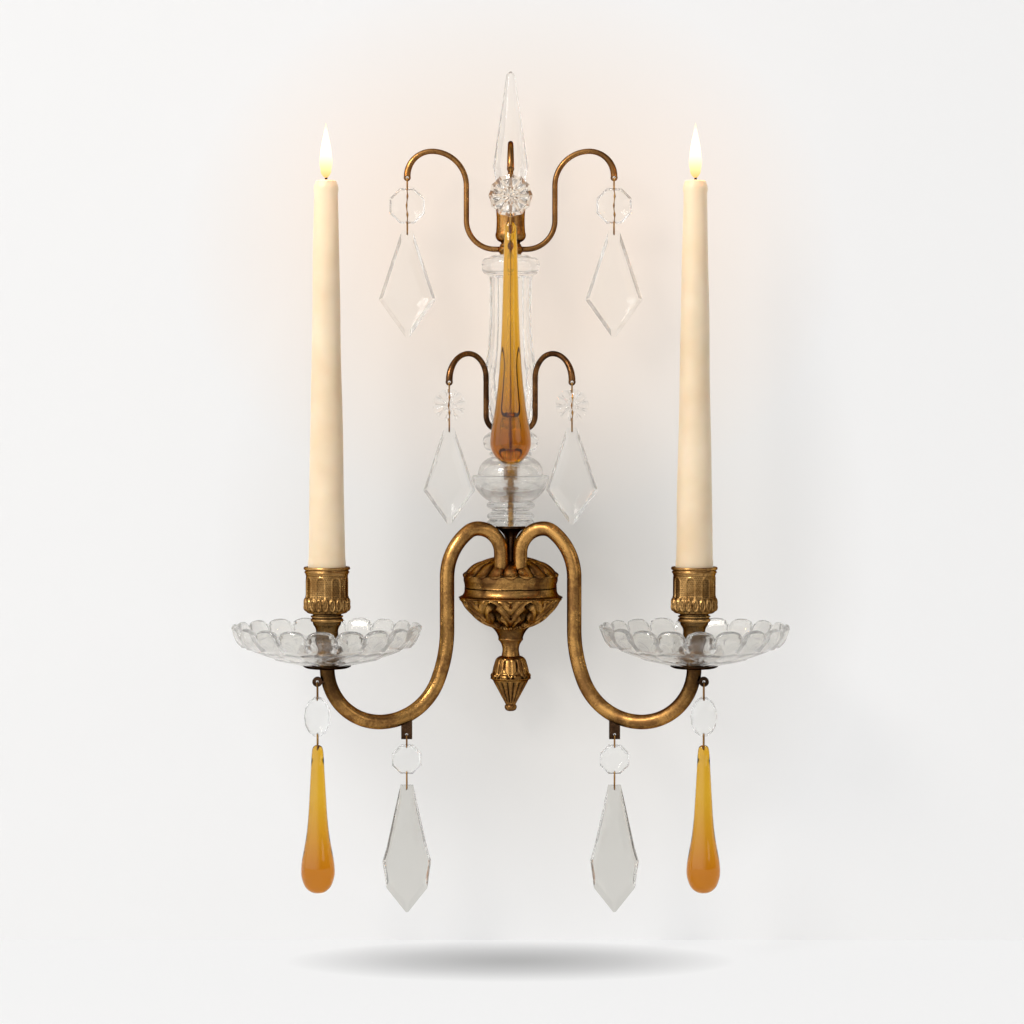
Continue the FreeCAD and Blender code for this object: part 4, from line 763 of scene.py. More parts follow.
def make_cap(material):
    """The urn's cap: lobes that grow from the top and flare at the rim."""
    centre, radius, low, height = axis_of("urn_cap")
    size = sizes()
    steps_per_flute = 14
    flat_reach, full_reach, flare_reach = radius * 0.15, radius * 0.7, radius * 0.86
    flare_share, valley_curve, shaded = 0.9, 1.5, 0.9
    mesh = spun(outline(scaled(CAP_SHARES, radius, low, height), size.fine_step), centre,
                size.urn_flutes * steps_per_flute)

    # The third value paints shade inside the cap and under its rim, and patina with painted shade in the
    # valleys between the lobes.
    def relief(angle, reach, up, along):
        if along > CAP_OUTER_ITEMS:
            return 0.0, 0.0, shaded
        ridge = lobe(angle, size.urn_flutes)
        strength = smooth(reach, flat_reach, full_reach)
        depth = size.flute_depth * strength * (1 - math.sqrt(ridge))
        flare = smooth(reach, flare_reach, radius) * size.flute_depth
        return depth, flare * (1 - ridge) * flare_share, (1 - ridge) ** valley_curve * strength * shaded

    carve(mesh, centre, relief)
    cut_back(mesh)
    piece("urn_cap_fluted", mesh, material, "root", ["urn_cap"], sharp=50)


def leaf_relief(side, down):
    """Height share of a carved leaf; side is -1 to 1 across it, down 0 to 1 from its tip to its stalk.

    The leaf narrows with scalloped edges. Veins slant out from a raised rib, its tip curls up, and the
    tips of a second row show between two leaves.
    """
    tip_width, taper, scallop_depth, scallop_turn = 0.97, 0.42, 0.10, 20.0
    edge_width, rib_width, rib_rise = 0.09, 0.075, 0.28
    veins, vein_slant, vein_depth, vein_low, vein_high = 2.6, 0.75, 0.38, -0.55, 0.3
    curl_height, curl_end = 0.25, 0.12
    gap_height, gap_width, gap_start, gap_end = 0.42, 0.22, 0.45, 0.75
    away = abs(side)
    edge = tip_width - taper * down + scallop_depth * math.cos(down * scallop_turn)
    inside = smooth(edge - away, 0.0, edge_width)
    rib = math.exp(-(away / rib_width) ** 2)
    vein = math.cos((down + away * vein_slant) * math.tau * veins)
    lobes = 1 - vein_depth + vein_depth * smooth(vein, vein_low, vein_high)
    curl = curl_height * (1 - smooth(down, 0.0, curl_end))
    between = gap_height * smooth(down, gap_start, gap_end) * math.exp(-((1 - away) / gap_width) ** 2)
    return max(inside * lobes + inside * curl, inside * (1 - rib_rise + rib_rise * rib) * rib, between)


def make_bowl(material):
    """The band under the cap and the bowl with its leaves, cast as one half-round shell."""
    size = sizes()
    low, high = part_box("urn_bowl")
    radius, foot, top = (high.x - low.x) / 2, low.z, high.z
    centre = (0.0, low.y + radius)
    cap_low, cap_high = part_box("urn_cap")
    band_height, cap_overhang = 10.6 * MM, 1.1 * MM
    foot_wall, hollow_rise = 4 * MM, 12 * MM
    hollow_reach, hollow_foot_reach = radius * 0.82, radius * 0.5
    steps_per_leaf = 40
    cap_shadow_start, cap_shadow_end, leaf_items, fade_start = 2.0, 4.0, 2.1, 0.88
    cap_shadow_shade, band_shade, hollow_shade, foot_shade, leaf_shade = 0.9, 0.25, 0.5, 0.3, 0.95
    lip = cap_low.z - band_height
    band = cap_high.x - cap_overhang
    items = [tuple(lip + (top - lip) * share if index % 2 else band + (radius - band) * share
                   for index, share in enumerate(item)) for item in BAND_SHARES]
    first_leaf = len(items)
    items += scaled(BOWL_SHARES, radius, foot, lip - foot)
    hollow = [(0.0, foot), (0.0, foot + foot_wall), (hollow_foot_reach, foot + hollow_rise),
              (hollow_reach, lip), (hollow_reach, top)]
    mesh = spun(outline(items + hollow, size.fine_step, len(items)), centre,
                size.urn_leaves * steps_per_leaf, closed=True)
    tip_share, stalk_share = 0.03, 0.20
    leaf_top = lip - (lip - foot) * tip_share
    leaf_low = foot + (lip - foot) * stalk_share

    # The third value paints shade: the cap's shadow on the top of the band, lighter shade on the rest of
    # the band, the foot and the hollow inside, and patina with painted shade in the sunk parts of the
    # leaves.
    def relief(angle, reach, up, along):
        if not first_leaf - 1 < along < first_leaf + leaf_items or up > leaf_top:
            if along >= first_leaf:
                return 0.0, 0.0, hollow_shade
            return 0.0, 0.0, cap_shadow_shade if cap_shadow_start < along < cap_shadow_end else band_shade
        down = (leaf_top - up) / (leaf_top - leaf_low)
        if down > 1.0:
            return 0.0, 0.0, foot_shade
        fade = 1 - smooth(down, fade_start, 1.0)
        sunk = 1 - leaf_relief(side_of(angle * size.urn_leaves / math.tau), down)
        return size.leaf_relief * sunk * fade, 0.0, sunk * fade * leaf_shade

    carve(mesh, centre, relief)
    cut_back(mesh)
    piece("urn_bowl_carved", mesh, material, "root", ["urn_bowl"], sharp=50)


def make_finial(material):
    """The finial under the urn: a neck, a crown of leaves and a fluted point."""
    size = sizes()
    centre, radius, low, _ = axis_of("bottom_finial")
    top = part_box("urn_bowl")[0].z
    height = top - low
    items = [(0.0, top)] + scaled(FINIAL_SHARES, radius, low, height)
    leaf_top, leaf_low = low + height * 0.735, low + height * 0.455
    cone_top, cone_low = low + height * 0.415, low + height * 0.10
    top_fade, low_fade = 1 * MM, 2 * MM
    leaves, steps, step_share, flute_share, plain_shade = 8, 256, 0.8, 0.75, 0.15
    fade_start, fade_end = 0.02, 0.2
    mesh = spun(outline(items, size.fine_step * step_share), centre, steps)

    def leaf(turns, down):
        """Height share of the leaves: one row, and the tips of a second row between them."""
        width, taper, taper_start, edge_width = 0.95, 0.75, 0.55, 0.2
        crease_depth, crease_width = 0.45, 0.16
        lower_height, lower_width, lower_start, lower_end = 0.55, 0.6, 0.4, 0.7
        side, under = abs(side_of(turns)), abs(side_of(turns + 0.5))
        edge = width - taper * smooth(down, taper_start, 1.0)
        blade = smooth(edge - side, 0.0, edge_width)
        crease = crease_depth * math.exp(-(side / crease_width) ** 2)
        lower = lower_height * smooth(down, lower_start, lower_end)
        return max(blade * (1 - crease), lower * smooth(lower_width - under, 0.0, edge_width))

    # The third value is patina with painted shade in the sunk parts of the leaves and flutes, and a little
    # painted shade on the rest.
    def relief(angle, reach, up, along):
        if leaf_low < up < leaf_top:
            down = (leaf_top - up) / (leaf_top - leaf_low)
            sunk = 1 - leaf(angle * leaves / math.tau, down)
            fade = smooth(down, fade_start, fade_end)
            return size.finial_relief * sunk * fade, 0.0, sunk * fade
        if cone_low < up < cone_top:
            fade = smooth(up, cone_low, cone_low + low_fade)
            fade *= 1 - smooth(up, cone_top - top_fade, cone_top)
            valley = 1 - lobe(angle, size.finial_flutes)
            return size.finial_relief * flute_share * valley * fade, 0.0, valley * fade
        return 0.0, 0.0, plain_shade

    carve(mesh, centre, relief)
    piece("bottom_finial_carved", mesh, material, "root", ["bottom_finial"], sharp=50)


# The column


def make_turned(node, items, material, step):
    """A turned piece in place of one node."""
    steps = 96
    mesh = spun(outline(items, step), axis_of(node)[0], steps, closed=True)
    piece(f"{node}_turned", mesh, material, "root", [node])


def make_glass_foot(glass):
    """The ringed glass foot on the dark collar."""
    bore = sizes().rod_bore
    _, radius, low, height = axis_of("glass_foot")
    items = [(bore, low)] + scaled(FOOT_SHARES, radius, low, height) + [(bore, low + height)]
    make_turned("glass_foot", items, glass, sizes().glass_step)


def make_glass_bowl(glass):
    """An open bowl with a soft rim."""
    bore = sizes().rod_bore
    _, radius, low, height = axis_of("glass_bowl")
    thickness, wall = 4.8 * MM, 2.3 * MM
    floor, top = low + thickness, low + height
    items = [(bore, low), (radius * 0.53, low), (radius * 0.62, low + height * 0.07),
             (radius * 0.86, low + height * 0.42, radius, top - wall / 2),
             (radius * 0.99, top, radius - wall, top - wall / 2),
             (radius * 0.70, floor + height * 0.12, radius * 0.45, floor), (bore, floor)]
    make_turned("glass_bowl", items, glass, sizes().glass_step)


def make_glass_bell(glass):
    """A bell that opens downwards, with a ring and a ball on its neck."""
    bore = sizes().rod_bore
    _, radius, low, height = axis_of("glass_bell")
    hollow_height = 7 * MM
    ceiling = low + hollow_height
    items = [(bore, ceiling)] + scaled(BELL_HOLLOW_SHARES, radius, low, ceiling - low)
    items += scaled(BELL_SHARES, radius, low, height) + [(bore, low + height)]
    make_turned("glass_bell", items, glass, sizes().glass_step)


def make_glass_column(glass):
    """A waisted column with flat panels cut round it, under a round flange."""
    bore = sizes().rod_bore
    centre, _, low, height = axis_of("glass_column")
    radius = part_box("glass_column")[1].x
    items = [(bore, low)] + scaled(COLUMN_SHARES, radius, low, height) + [(bore, low + height)]
    panels, steps, cut_share = 12, 120, 1.8
    mesh = spun(outline(items, sizes().glass_step), centre, steps, closed=True)
    flange_low = low + height * 0.878
    bore_edge = bore * 1.5

    def panel(angle, reach, up, along):
        if up > flange_low or reach < bore_edge:
            return 0.0, 0.0, 0.0
        side = side_of(angle * panels / math.tau)
        return reach * (1 - math.cos(math.pi / panels)) * cut_share * (1 - side * side), 0.0, 0.0

    carve(mesh, centre, panel)
    piece("glass_column_cut", mesh, glass, "root", ["glass_column"], sharp=22)


def make_spire(glass):
    """A spire of eight cut faces, widest at its shoulder, with its edges taken off."""
    low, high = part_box("spire")
    centre = axis_of("spire_cup")[0]
    radius, facets = high.x, 8
    foot_height, point_height, edge_width = 4 * MM, 2.0 * MM, 0.22 * MM
    shoulder = low.z + (high.z - low.z) * 0.428
    sections = [(radius * 0.35, low.z), (radius * 0.55, low.z + foot_height),
                (radius * 0.60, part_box("spire_cup")[1].z), (radius, shoulder),
                (radius * 0.24, high.z - point_height), (radius * 0.05, high.z)]
    face_forward = Matrix.Rotation(math.pi / facets, 3, "Z")
    mesh = bmesh.new()
    rings = []
    for across, up in sections:
        made = bmesh.ops.create_circle(mesh, segments=facets, radius=across)["verts"]
        bmesh.ops.rotate(mesh, verts=made, cent=(0, 0, 0), matrix=face_forward)
        bmesh.ops.translate(mesh, verts=made, vec=(*centre, up))
        rings.append([edge for edge in mesh.edges if edge.verts[0] in made and edge.verts[1] in made])
    for lower, upper in zip(rings, rings[1:]):
        bmesh.ops.bridge_loops(mesh, edges=lower + upper)
    bmesh.ops.holes_fill(mesh, edges=rings[0] + rings[-1], sides=0)
    bmesh.ops.bevel(mesh, geom=mesh.edges[:], offset=edge_width, offset_type="OFFSET", segments=2,
                    profile=0.5, affect="EDGES", material=-1, clamp_overlap=True)
    bmesh.ops.recalc_face_normals(mesh, faces=mesh.faces)
    piece("spire_cut", mesh, glass, "root", ["spire"], sharp=20)


def make_spire_cup(brass):
    """The small turned cup that the spire stands in, with painted shade inside."""
    centre, radius, low, height = axis_of("spire_cup")
    steps, inside_shade = 240, 0.6
    items = [(BRASS_BORE, low)] + scaled(SPIRE_CUP_SHARES, radius, low, height)
    mesh = spun(outline(items, sizes().fine_step), centre, steps, closed=True)

    def shaded(angle, reach, up, along):
        return 0.0, 0.0, inside_shade if reach < radius * 0.9 else 0.0

    carve(mesh, centre, shaded)
    piece("spire_cup_turned", mesh, brass, "root", ["spire_cup"], sharp=45)


def make_rings(brass):
    """The two rings that the sprigs grow from, each with a soft bead round it."""
    for kind in ("upper", "lower"):
        node = f"{kind}_sprig_ring"
        _, radius, low, height = axis_of(node)
        items = [(BRASS_BORE, low), (radius * 0.8, low), (radius * 0.84, low + height * 0.18),
                 (radius, low + height * 0.5, radius * 0.84, low + height * 0.82),
                 (radius * 0.8, low + height), (BRASS_BORE, low + height)]
        make_turned(node, items, brass, sizes().fine_step)


def make_collar(dark):
    """The dished collar between the arms, open underneath, with a thin rim, darkened as painted shade."""
    _, radius, low, height = axis_of("stem_collar")
    top = low + height
    stem, rim, rim_edge = 3.0 * MM, 1.3 * MM, 0.3 * MM
    items = [(BRASS_BORE, low), (stem, low), (stem, low + height * 0.6),
             (radius * 0.42, low + height * 0.78, radius, top - rim),
             (radius, top - rim_edge), (radius * 0.97, top), (BRASS_BORE, top)]
    make_turned("stem_collar", items, dark, sizes().fine_step)


# Sprigs and arms


def sprig_headings(kind):
    """Each sprig's heading, as an angle from the right, seen from above."""
    if kind == "upper":
        return {"upper_sprig_right": 0.0, "upper_sprig_left": math.pi, "upper_sprig_front": -math.pi / 2}
    return {"lower_sprig_right": -math.pi / 4, "lower_sprig_left": -math.pi * 3 / 4}


def make_sprigs(kind, material):
    """Wire sprigs: out of the ring, up, and over to a pierced eye."""
    size = sizes()
    centre = axis_of(f"{kind}_sprig_ring")[0]
    parts = ("reach", "root", "top", "foot_bend", "inner_bend", "outer_bend")
    reach, root, top, foot, inner, outer = (getattr(size, f"{kind}_{part}") for part in parts)
    start, path_step, sides = 5 * MM, 1.2 * MM, 6
    end_share, end_swell = 0.8, 0.25
    eye_drop, eye_thickness = 0.9 * MM, 2.5 * MM
    upright = reach - outer - inner
    items = [(start, root), (upright - foot, root),
             quarter(upright - foot, root + foot, foot, (1, -1), (1, 0)), (upright, top - inner),
             quarter(upright + inner, top - inner, inner, (-1, 1), (0, 1)),
             quarter(reach - outer, top - outer, outer, (1, 1), (1, 0))]
    for name, heading in sprig_headings(kind).items():
        path = plane_path(items, centre, heading, path_step)
        radii = [size.sprig_radius * (1.0 + end_swell * smooth(n, end_share * len(path), len(path)))
                 for n in range(len(path))]
        tube(f"{name}_wire", path, radii, material, "root", [name], sides=sides)
        x, y, z = path[-1]
        eye = eyelet((x, y, z - eye_drop), size.eye_radius, size.hole_radius, eye_thickness)
        piece(f"{name}_eye", eye, material, "root")


def arm_line(name):
    """Where an arm starts, its heading, and how far it reaches."""
    size = sizes()
    cup = middle_of(f"candle_{name}")
    root = (size.arm_root_spacing * SIDES[name], -size.arm_root_depth)
    return root, math.atan2(cup[1] - root[1], cup[0] - root[0]), math.dist(root, cup)


def bend_about(across, up, radius, start, end):
    """A bend about a centre between two angles, through its middle, to its end."""
    middle = (start + end) / 2
    return (across + radius * math.cos(middle), up + radius * math.sin(middle),
            across + radius * math.cos(end), up + radius * math.sin(end))


def arm_items(end):
    """An arm's centre line: up, over in a lopsided loop, down, and round up to the cup."""
    size = sizes()
    rise, shoulder, hollow = size.arm_rise_bend, size.arm_shoulder_bend, size.arm_hollow_bend
    top, run, bend = size.arm_loop_top, size.arm_run_reach, size.arm_bend_radius
    low_reach, low = end - bend, size.arm_bend_height - bend
    over = math.pi / 2 - size.arm_shoulder_angle
    under = math.pi * 3 / 2 - size.arm_hollow_angle
    lean = math.sin(size.arm_shoulder_angle)
    slope = (run - rise - shoulder * lean) / (1 - lean)
    slope_height = top - shoulder + (shoulder - slope) * math.cos(size.arm_shoulder_angle)
    lean = math.sin(size.arm_hollow_angle)
    flank = (low_reach - hollow * lean - run) / (1 - lean)
    flank_height = low + hollow + (flank - hollow) * math.cos(size.arm_hollow_angle)
    return [
        (0.0, size.arm_root_height), (0.0, top - rise),
        quarter(rise, top - rise, rise, (-1, 1), (0, 1)),
        bend_about(rise, top - shoulder, shoulder, math.pi / 2, over),
        bend_about(run - slope, slope_height, slope, over, 0.0),
        (run, flank_height),
        bend_about(run + flank, flank_height, flank, math.pi, under),
        bend_about(low_reach, low + hollow, hollow, under, math.pi * 3 / 2),
        quarter(low_reach, size.arm_bend_height, bend, (1, -1), (1, 0)),
    ]


def make_arms(material, dark):
    """The two bent tubes, with shade painted at their ends and by the chains' eyes."""
    size = sizes()
    path_step, sides = 1.5 * MM, 14
    for name in SIDES:
        root, heading, end = arm_line(name)
        path = plane_path(arm_items(end), root, heading, path_step)
        radii = [size.arm_radius] * len(path)
        thing = tube(f"arm_{name}_tube", path, radii, material, "root",
                     [f"arm_{name}"], sides=sides)
        places = {"cup": path[-1], "root": path[0], "eye": Vector(CHAIN_EYES[f"inner_{name}"])}
        darken(thing, [(places[spot], near_mm * MM, far_mm * MM, share)
                       for spot, (near_mm, far_mm, share) in ARM_SPOTS.items()])
    # The eyes get the darker brass that paints their shade.
    dress("arm_eyes", dark)


def darken(thing, spots):
    """Paint shade near some places; a spot is (place, inner reach, outer reach, share)."""
    layer = thing.data.attributes.new("recess", "FLOAT", "POINT")
    for vert, value in zip(thing.data.vertices, layer.data):
        value.value = max(share * (1 - smooth((vert.co - place).length, inner, outer))
                          for place, inner, outer, share in spots)


# Dishes, sockets and candles


def make_pans(brass):
    """The brass discs that the dishes stand on, darkened as painted shade under the dishes."""
    low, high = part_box("dish_pans")
    radius, lower_edge, upper_edge, steps = 14.0 * MM, 0.5 * MM, 0.3 * MM, 72
    items = [(0.0, low.z), (radius * 0.66, low.z),
             (radius * 0.94, low.z + lower_edge, radius, high.z - upper_edge),
             (radius * 0.98, high.z), (0.0, high.z)]
    pans = [spun(outline(items, sizes().fine_step), (side * (high.x - radius), low.y + radius), steps)
            for side in SIDES.values()]
    piece("dish_pans_turned", joined(pans), brass, "root", ["dish_pans"], sharp=40)


def make_dish(node, glass):
    """A pressed dish with three rows of round-headed petals that overlap like scales."""
    size = sizes()
    bottom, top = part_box(node)
    centre, radius, low, rim = middle_of(node), (top.x - bottom.x) / 2, bottom.z, top.z
    floor = low + size.dish_wall
    base, hole, steps_per_petal = 11.0 * MM, 6.8 * MM, 14
    dip_start, dip_end, bowing = radius * 0.80, radius * 0.985, 0.4
    crown_drop, edge_height, fall_depth, fade_start, fade_end = 0.10, 0.45, 0.5, 0.03, 0.2
    items = [(hole, low), (base, low)] + scaled(DISH_SHARES, radius, low, rim - low)
    outer = len(items) - 1
    items += scaled(DISH_INNER_SHARES, radius, floor, rim - floor) + [(base, floor), (hole, floor)]
    mesh = spun(outline(items, size.glass_step), centre, size.dish_petals * steps_per_petal, closed=True)

    def petals(angle, reach, up, along):
        turns = angle * size.dish_petals / math.tau
        side = side_of(turns)
        dip = size.petal_round * (1 - math.sqrt(max(0.0, 1 - side * side)))
        lift = -dip * smooth(reach, dip_start, dip_end)
        if not 1.0 < along <= outer:
            return 0.0, lift, 0.0
        share = (reach - base) / (radius - base)
        share = smooth(share, 0.0, 1.0) * bowing + share * (1 - bowing)
        height = 0.0
        for head_share, phase, fall in PETAL_ROWS:
            local = side_of(turns + phase)
            crown = math.sqrt(max(0.0, 1 - local * local))
            head = head_share - crown_drop * (1 - crown)
            if share < head:
                down = min((head - share) / fall, 1.0)
                height = (edge_height + (1 - edge_height) * crown) * (1 - fall_depth * down)
        fade = smooth(share, fade_start, fade_end)
        return size.petal_relief * (1 - height) * fade, lift, 0.0

    carve(mesh, centre, petals)
    piece(f"{node}_pressed", mesh, glass, "root", [node], sharp=38)


def make_socket(name, material):
    """A cast candle cup: a stem, a row of oval bosses, and a wall of framed arches."""
    size = sizes()
    node = f"socket_{name}"
    centre, radius, low, height = axis_of(node)
    bore, mouth_edge, step_share, steps = 11.2 * MM, 0.4 * MM, 0.7, 280
    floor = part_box(f"candle_{name}")[0].z
    items = scaled(SOCKET_SHARES, radius, low, height)
    plain = len(items)
    items += [(bore, low + height - mouth_edge), (bore, floor), (0.0, floor)]
    mesh = spun(outline(items, size.fine_step * step_share, plain), centre, steps)
    arch = (low + height * 0.70, low + height * 0.915)
    bulge = (low + height * 0.53, low + height * 0.70)
    carve(mesh, centre, socket_relief(bore, arch, bulge))
    piece(f"{node}_cast", mesh, material, "root", [node], sharp=50)


def socket_relief(bore, arch, bulge):
    """The relief of a candle cup: framed round arches on a punched ground, and a row of oval bosses."""
    size = sizes()
    half = size.arch_half_width
    line_width, sill_start, sill_end, head_gap = 0.42 * MM, 0.1 * MM, 0.7 * MM, 0.9 * MM
    bore_shade, stem_shade, plain_shade, arch_offset = 0.7, 0.75, 0.12, 0.31
    bore_reach, stem_reach = bore * 1.02, bore * 0.79

    def dots(around, up):
        """A punched ground: rows of dots, every second row set over by half a step."""
        row = math.floor(up / size.stipple_pitch)
        across = around / size.stipple_pitch + 0.5 * (row % 2)
        x, y = across - math.floor(across) - 0.5, up / size.stipple_pitch - row - 0.5
        core, edge = 0.12, 0.42
        return 1 - smooth(math.hypot(x, y), core, edge)

    def arches(angle, reach, up):
        """Round-headed panels in raised frames, with the punched ground between and in them."""
        depths, shades = (0.35, 0.5, 0.25), (0.15, 0.2, 0.75)
        turns = angle * size.arch_count / math.tau + arch_offset
        across = side_of(turns) / 2 * math.tau / size.arch_count * reach
        spring = arch[1] - half - head_gap
        away = abs(across) - half if up < spring else math.hypot(across, up - spring) - half
        frame_line = math.exp(-(away / line_width) ** 2)
        inside = smooth(-away, sill_start, sill_end)
        ground = dots(angle * reach, up)
        depth, shade = (plain + panel * inside + dot * ground for plain, panel, dot in (depths, shades))
        return size.arch_relief * depth * (1 - frame_line), 0.0, shade * (1 - frame_line)

    def bosses(angle, up):
        """A row of oval rims, each with a low boss in it."""
        width, middle, height = 0.86, 0.52, 0.44
        rim_reach, rim_width, core_height, core_reach, sunk_shade = 0.78, 0.2, 0.55, 0.5, 0.65
        low_fade, high_fade = 0.12, 0.9
        share = (up - bulge[0]) / (bulge[1] - bulge[0])
        across = abs(side_of(angle * size.gadroons / math.tau))
        away = math.hypot(across / width, (share - middle) / height)
        rim = math.exp(-((away - rim_reach) / rim_width) ** 2)
        fade = smooth(share, 0.0, low_fade) * (1 - smooth(share, high_fade, 1.0))
        boss = max(rim, core_height * (1 - smooth(away, 0.0, core_reach)))
        return size.arch_relief * (1 - boss) * fade, 0.0, sunk_shade * (1 - boss) * fade

    # The third value paints shade inside the cup's mouth and on the stem under the bulge, a little painted
    # shade elsewhere, and patina with painted shade in the punched ground, the panels and round the bosses.
    def relief(angle, reach, up, along):
        if reach < bore_reach and up > bulge[1]:
            return 0.0, 0.0, bore_shade
        if reach < stem_reach and up < bulge[0]:
            return 0.0, 0.0, stem_shade
        if arch[0] < up < arch[1]:
            return arches(angle, reach, up)
        if bulge[0] < up < bulge[1]:
            return bosses(angle, up)
        return 0.0, 0.0, plain_shade

    return relief


def make_candle(name, wax):
    """A taper that narrows to a melted tip."""
    body = f"candle_{name}"
    centre = middle_of(body)
    low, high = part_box(body)
    radius = (high.x - low.x) / 2
    tip, step, steps = 7.1 * MM, 1.6 * MM, 72
    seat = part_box(f"socket_{name}")[1].z
    items = [(0.0, low.z), (radius, low.z), (radius, seat)]
    items += scaled(CANDLE_TIP_SHARES, tip, high.z - tip, tip)
    items += [(0.0, high.z - tip * 0.25)]
    mesh = spun(outline(items, step), centre, steps)
    soften(mesh, centre, seat, SIDES[name])
    piece(f"candle_{name}_wax", mesh, wax, body, [body])


def make_wick(name, material):
    """A wick that starts inside the wax and leans over a little as it burns."""
    body = f"candle_{name}"
    x, y = middle_of(body)
    top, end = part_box(body)[1].z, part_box(f"wick_{name}")[1].z
    sunk, knee_height, knee_lean, end_lean, end_forward = 4 * MM, 2.6 * MM, 0.25 * MM, 0.55 * MM, 0.1 * MM
    path = [Vector((x, y, top - sunk)), Vector((x, y, top)), Vector((x + knee_lean, y, top + knee_height)),
            Vector((x + end_lean, y - end_forward, end))]
    radii = [radius_mm * MM for radius_mm in (0.8, 0.8, 0.75, 0.55)]
    tube(f"wick_{name}_charred", path, radii, material, body, [f"wick_{name}"], sides=4)


def make_flame(name, material):
    """A flame that stands round the end of the wick."""
    size = sizes()
    body = f"candle_{name}"
    lift, step, steps = 1.4 * MM, 0.8 * MM, 40
    items = scaled(FLAME_SHARES, size.flame_radius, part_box(body)[1].z + lift, size.flame_height)
    piece(f"flame_{name}", spun(outline(items, step), middle_of(body), steps), material, body)


def soften(mesh, centre, seat, side):
    """Give the candle the faint unevenness of dipped wax, above its cup."""
    start, core, shrink = seat + 4 * MM, 1 * MM, 0.19 * MM
    broad_mm, fine_mm, broad_waves, fine_waves = 0.12, 0.07, 60, 95
    for vert in mesh.verts:
        if vert.co.z > start:
            angle = math.atan2(vert.co.x - centre[0], centre[1] - vert.co.y)
            wave = math.sin(angle * 2 + vert.co.z * broad_waves + side) * broad_mm * MM
            wave += math.sin(angle * 3 - vert.co.z * fine_waves) * fine_mm * MM - shrink
            away = Vector((vert.co.x - centre[0], vert.co.y - centre[1], 0.0))
            if away.length > core:
                vert.co += away.normalized() * wave


# Chains


def read_chains():
    """Where each chain's eye is, from the frame's joints."""
    eye_lift = 0.3 * MM
    places = {joint["name"]: joint.get("pos_m") for joint in frame["joints"]}
    for name in frame["bodies"]:
        if name.endswith("_bead"):
            chain = name[:-len("_bead")]
            x, y, z = places[f"{chain}_bead_swing"]
            CHAIN_EYES[chain] = (x, y, z + eye_lift)


def first_face(geometry):
    """The first face in a list of vertices, edges and faces."""
    return next(item for item in geometry if isinstance(item, bmesh.types.BMFace))


def flat_crystal(items, centre, layers):
    """A cut crystal: an outline parallel to the wall, stepped in to a table at the front and the back.

    A layer is (thickness there, share of the outline), from the girdle to the table.
    """
    mesh = bmesh.new()
    x, y, z = centre
    front = mesh.faces.new([mesh.verts.new((x + across, y, z + up)) for across, up in items])
    copy = bmesh.ops.duplicate(mesh, geom=[front] + front.edges[:] + front.verts[:])
    back = first_face(copy["geom"])
    middle = Matrix.Translation((-x, 0, -z))
    girdle = layers[0][0]
    loops = []
    for current, sign in ((front, -1), (back, 1)):
        bmesh.ops.translate(mesh, verts=current.verts[:], vec=(0, sign * girdle / 2, 0))
        loops += current.edges[:]
        for (depth, share), (next_depth, next_share) in zip(layers, layers[1:]):
            made = bmesh.ops.extrude_face_region(mesh, geom=[current])["geom"]
            bmesh.ops.delete(mesh, geom=[current], context="FACES_KEEP_BOUNDARY")
            current = first_face(made)
            ratio = next_share / share
            bmesh.ops.scale(mesh, verts=current.verts[:], vec=(ratio, 1.0, ratio), space=middle)
            bmesh.ops.translate(mesh, verts=current.verts[:], vec=(0, sign * (next_depth - depth) / 2, 0))
    bmesh.ops.bridge_loops(mesh, edges=loops)
    bmesh.ops.recalc_face_normals(mesh, faces=mesh.faces)
    return mesh


def crystal_outline(shares, half_width, height, low):
    """Both sides of an outline that is given for its right side, from the top down."""
    right = [(half_width * across, low + height * up) for across, up in shares]
    return right + [(-across, up) for across, up in reversed(right)]


def round_outline(number, half_width, half_height):
    """The corners of an even-sided outline whose sides touch an oval."""
    step = math.tau / number
    return [(half_width * math.sin(step * (n + 0.5)) / math.cos(step / 2),
             half_height * math.cos(step * (n + 0.5)) / math.cos(step / 2)) for n in range(number)]


def rosette(centre, half, number, cut):
    """A pressed bead with radial flutes that meet in its middle, both sides alike.

    A cut one has flat facets and crisp ridges, the other one soft petals.
    """
    ring_shares = [(0.0, 1.0), (0.1, 0.99), (0.45, 0.88), (0.82, 0.60), (1.0, 0.30)]
    points = [(across, up, 0.0) for across, up in ring_shares]
    points += [(across, -up, 0.0) for across, up in reversed(ring_shares)]
    steps_per_flute = 2 if cut else 10
    sunk_share, notch_share, centre_share = 0.5, 0.06, 0.35
    mesh = spun(points, (0.0, 0.0), number * steps_per_flute)
    for vert in mesh.verts:
        reach = math.hypot(vert.co.x, vert.co.y)
        angle = math.atan2(vert.co.y, vert.co.x)
        valley = abs(side_of(angle * number / math.tau)) if cut else 1 - lobe(angle, number)
        valley *= smooth(reach, 0.0, centre_share)
        vert.co.z *= 1 - sunk_share * valley
        ratio = 1 - notch_share * valley
        vert.co.x *= ratio
        vert.co.y *= ratio
    bmesh.ops.rotate(mesh, verts=mesh.verts, cent=(0, 0, 0), matrix=FACE_FRONT)
    bmesh.ops.scale(mesh, verts=mesh.verts, vec=half)
    bmesh.ops.translate(mesh, verts=mesh.verts, vec=centre)
    return mesh


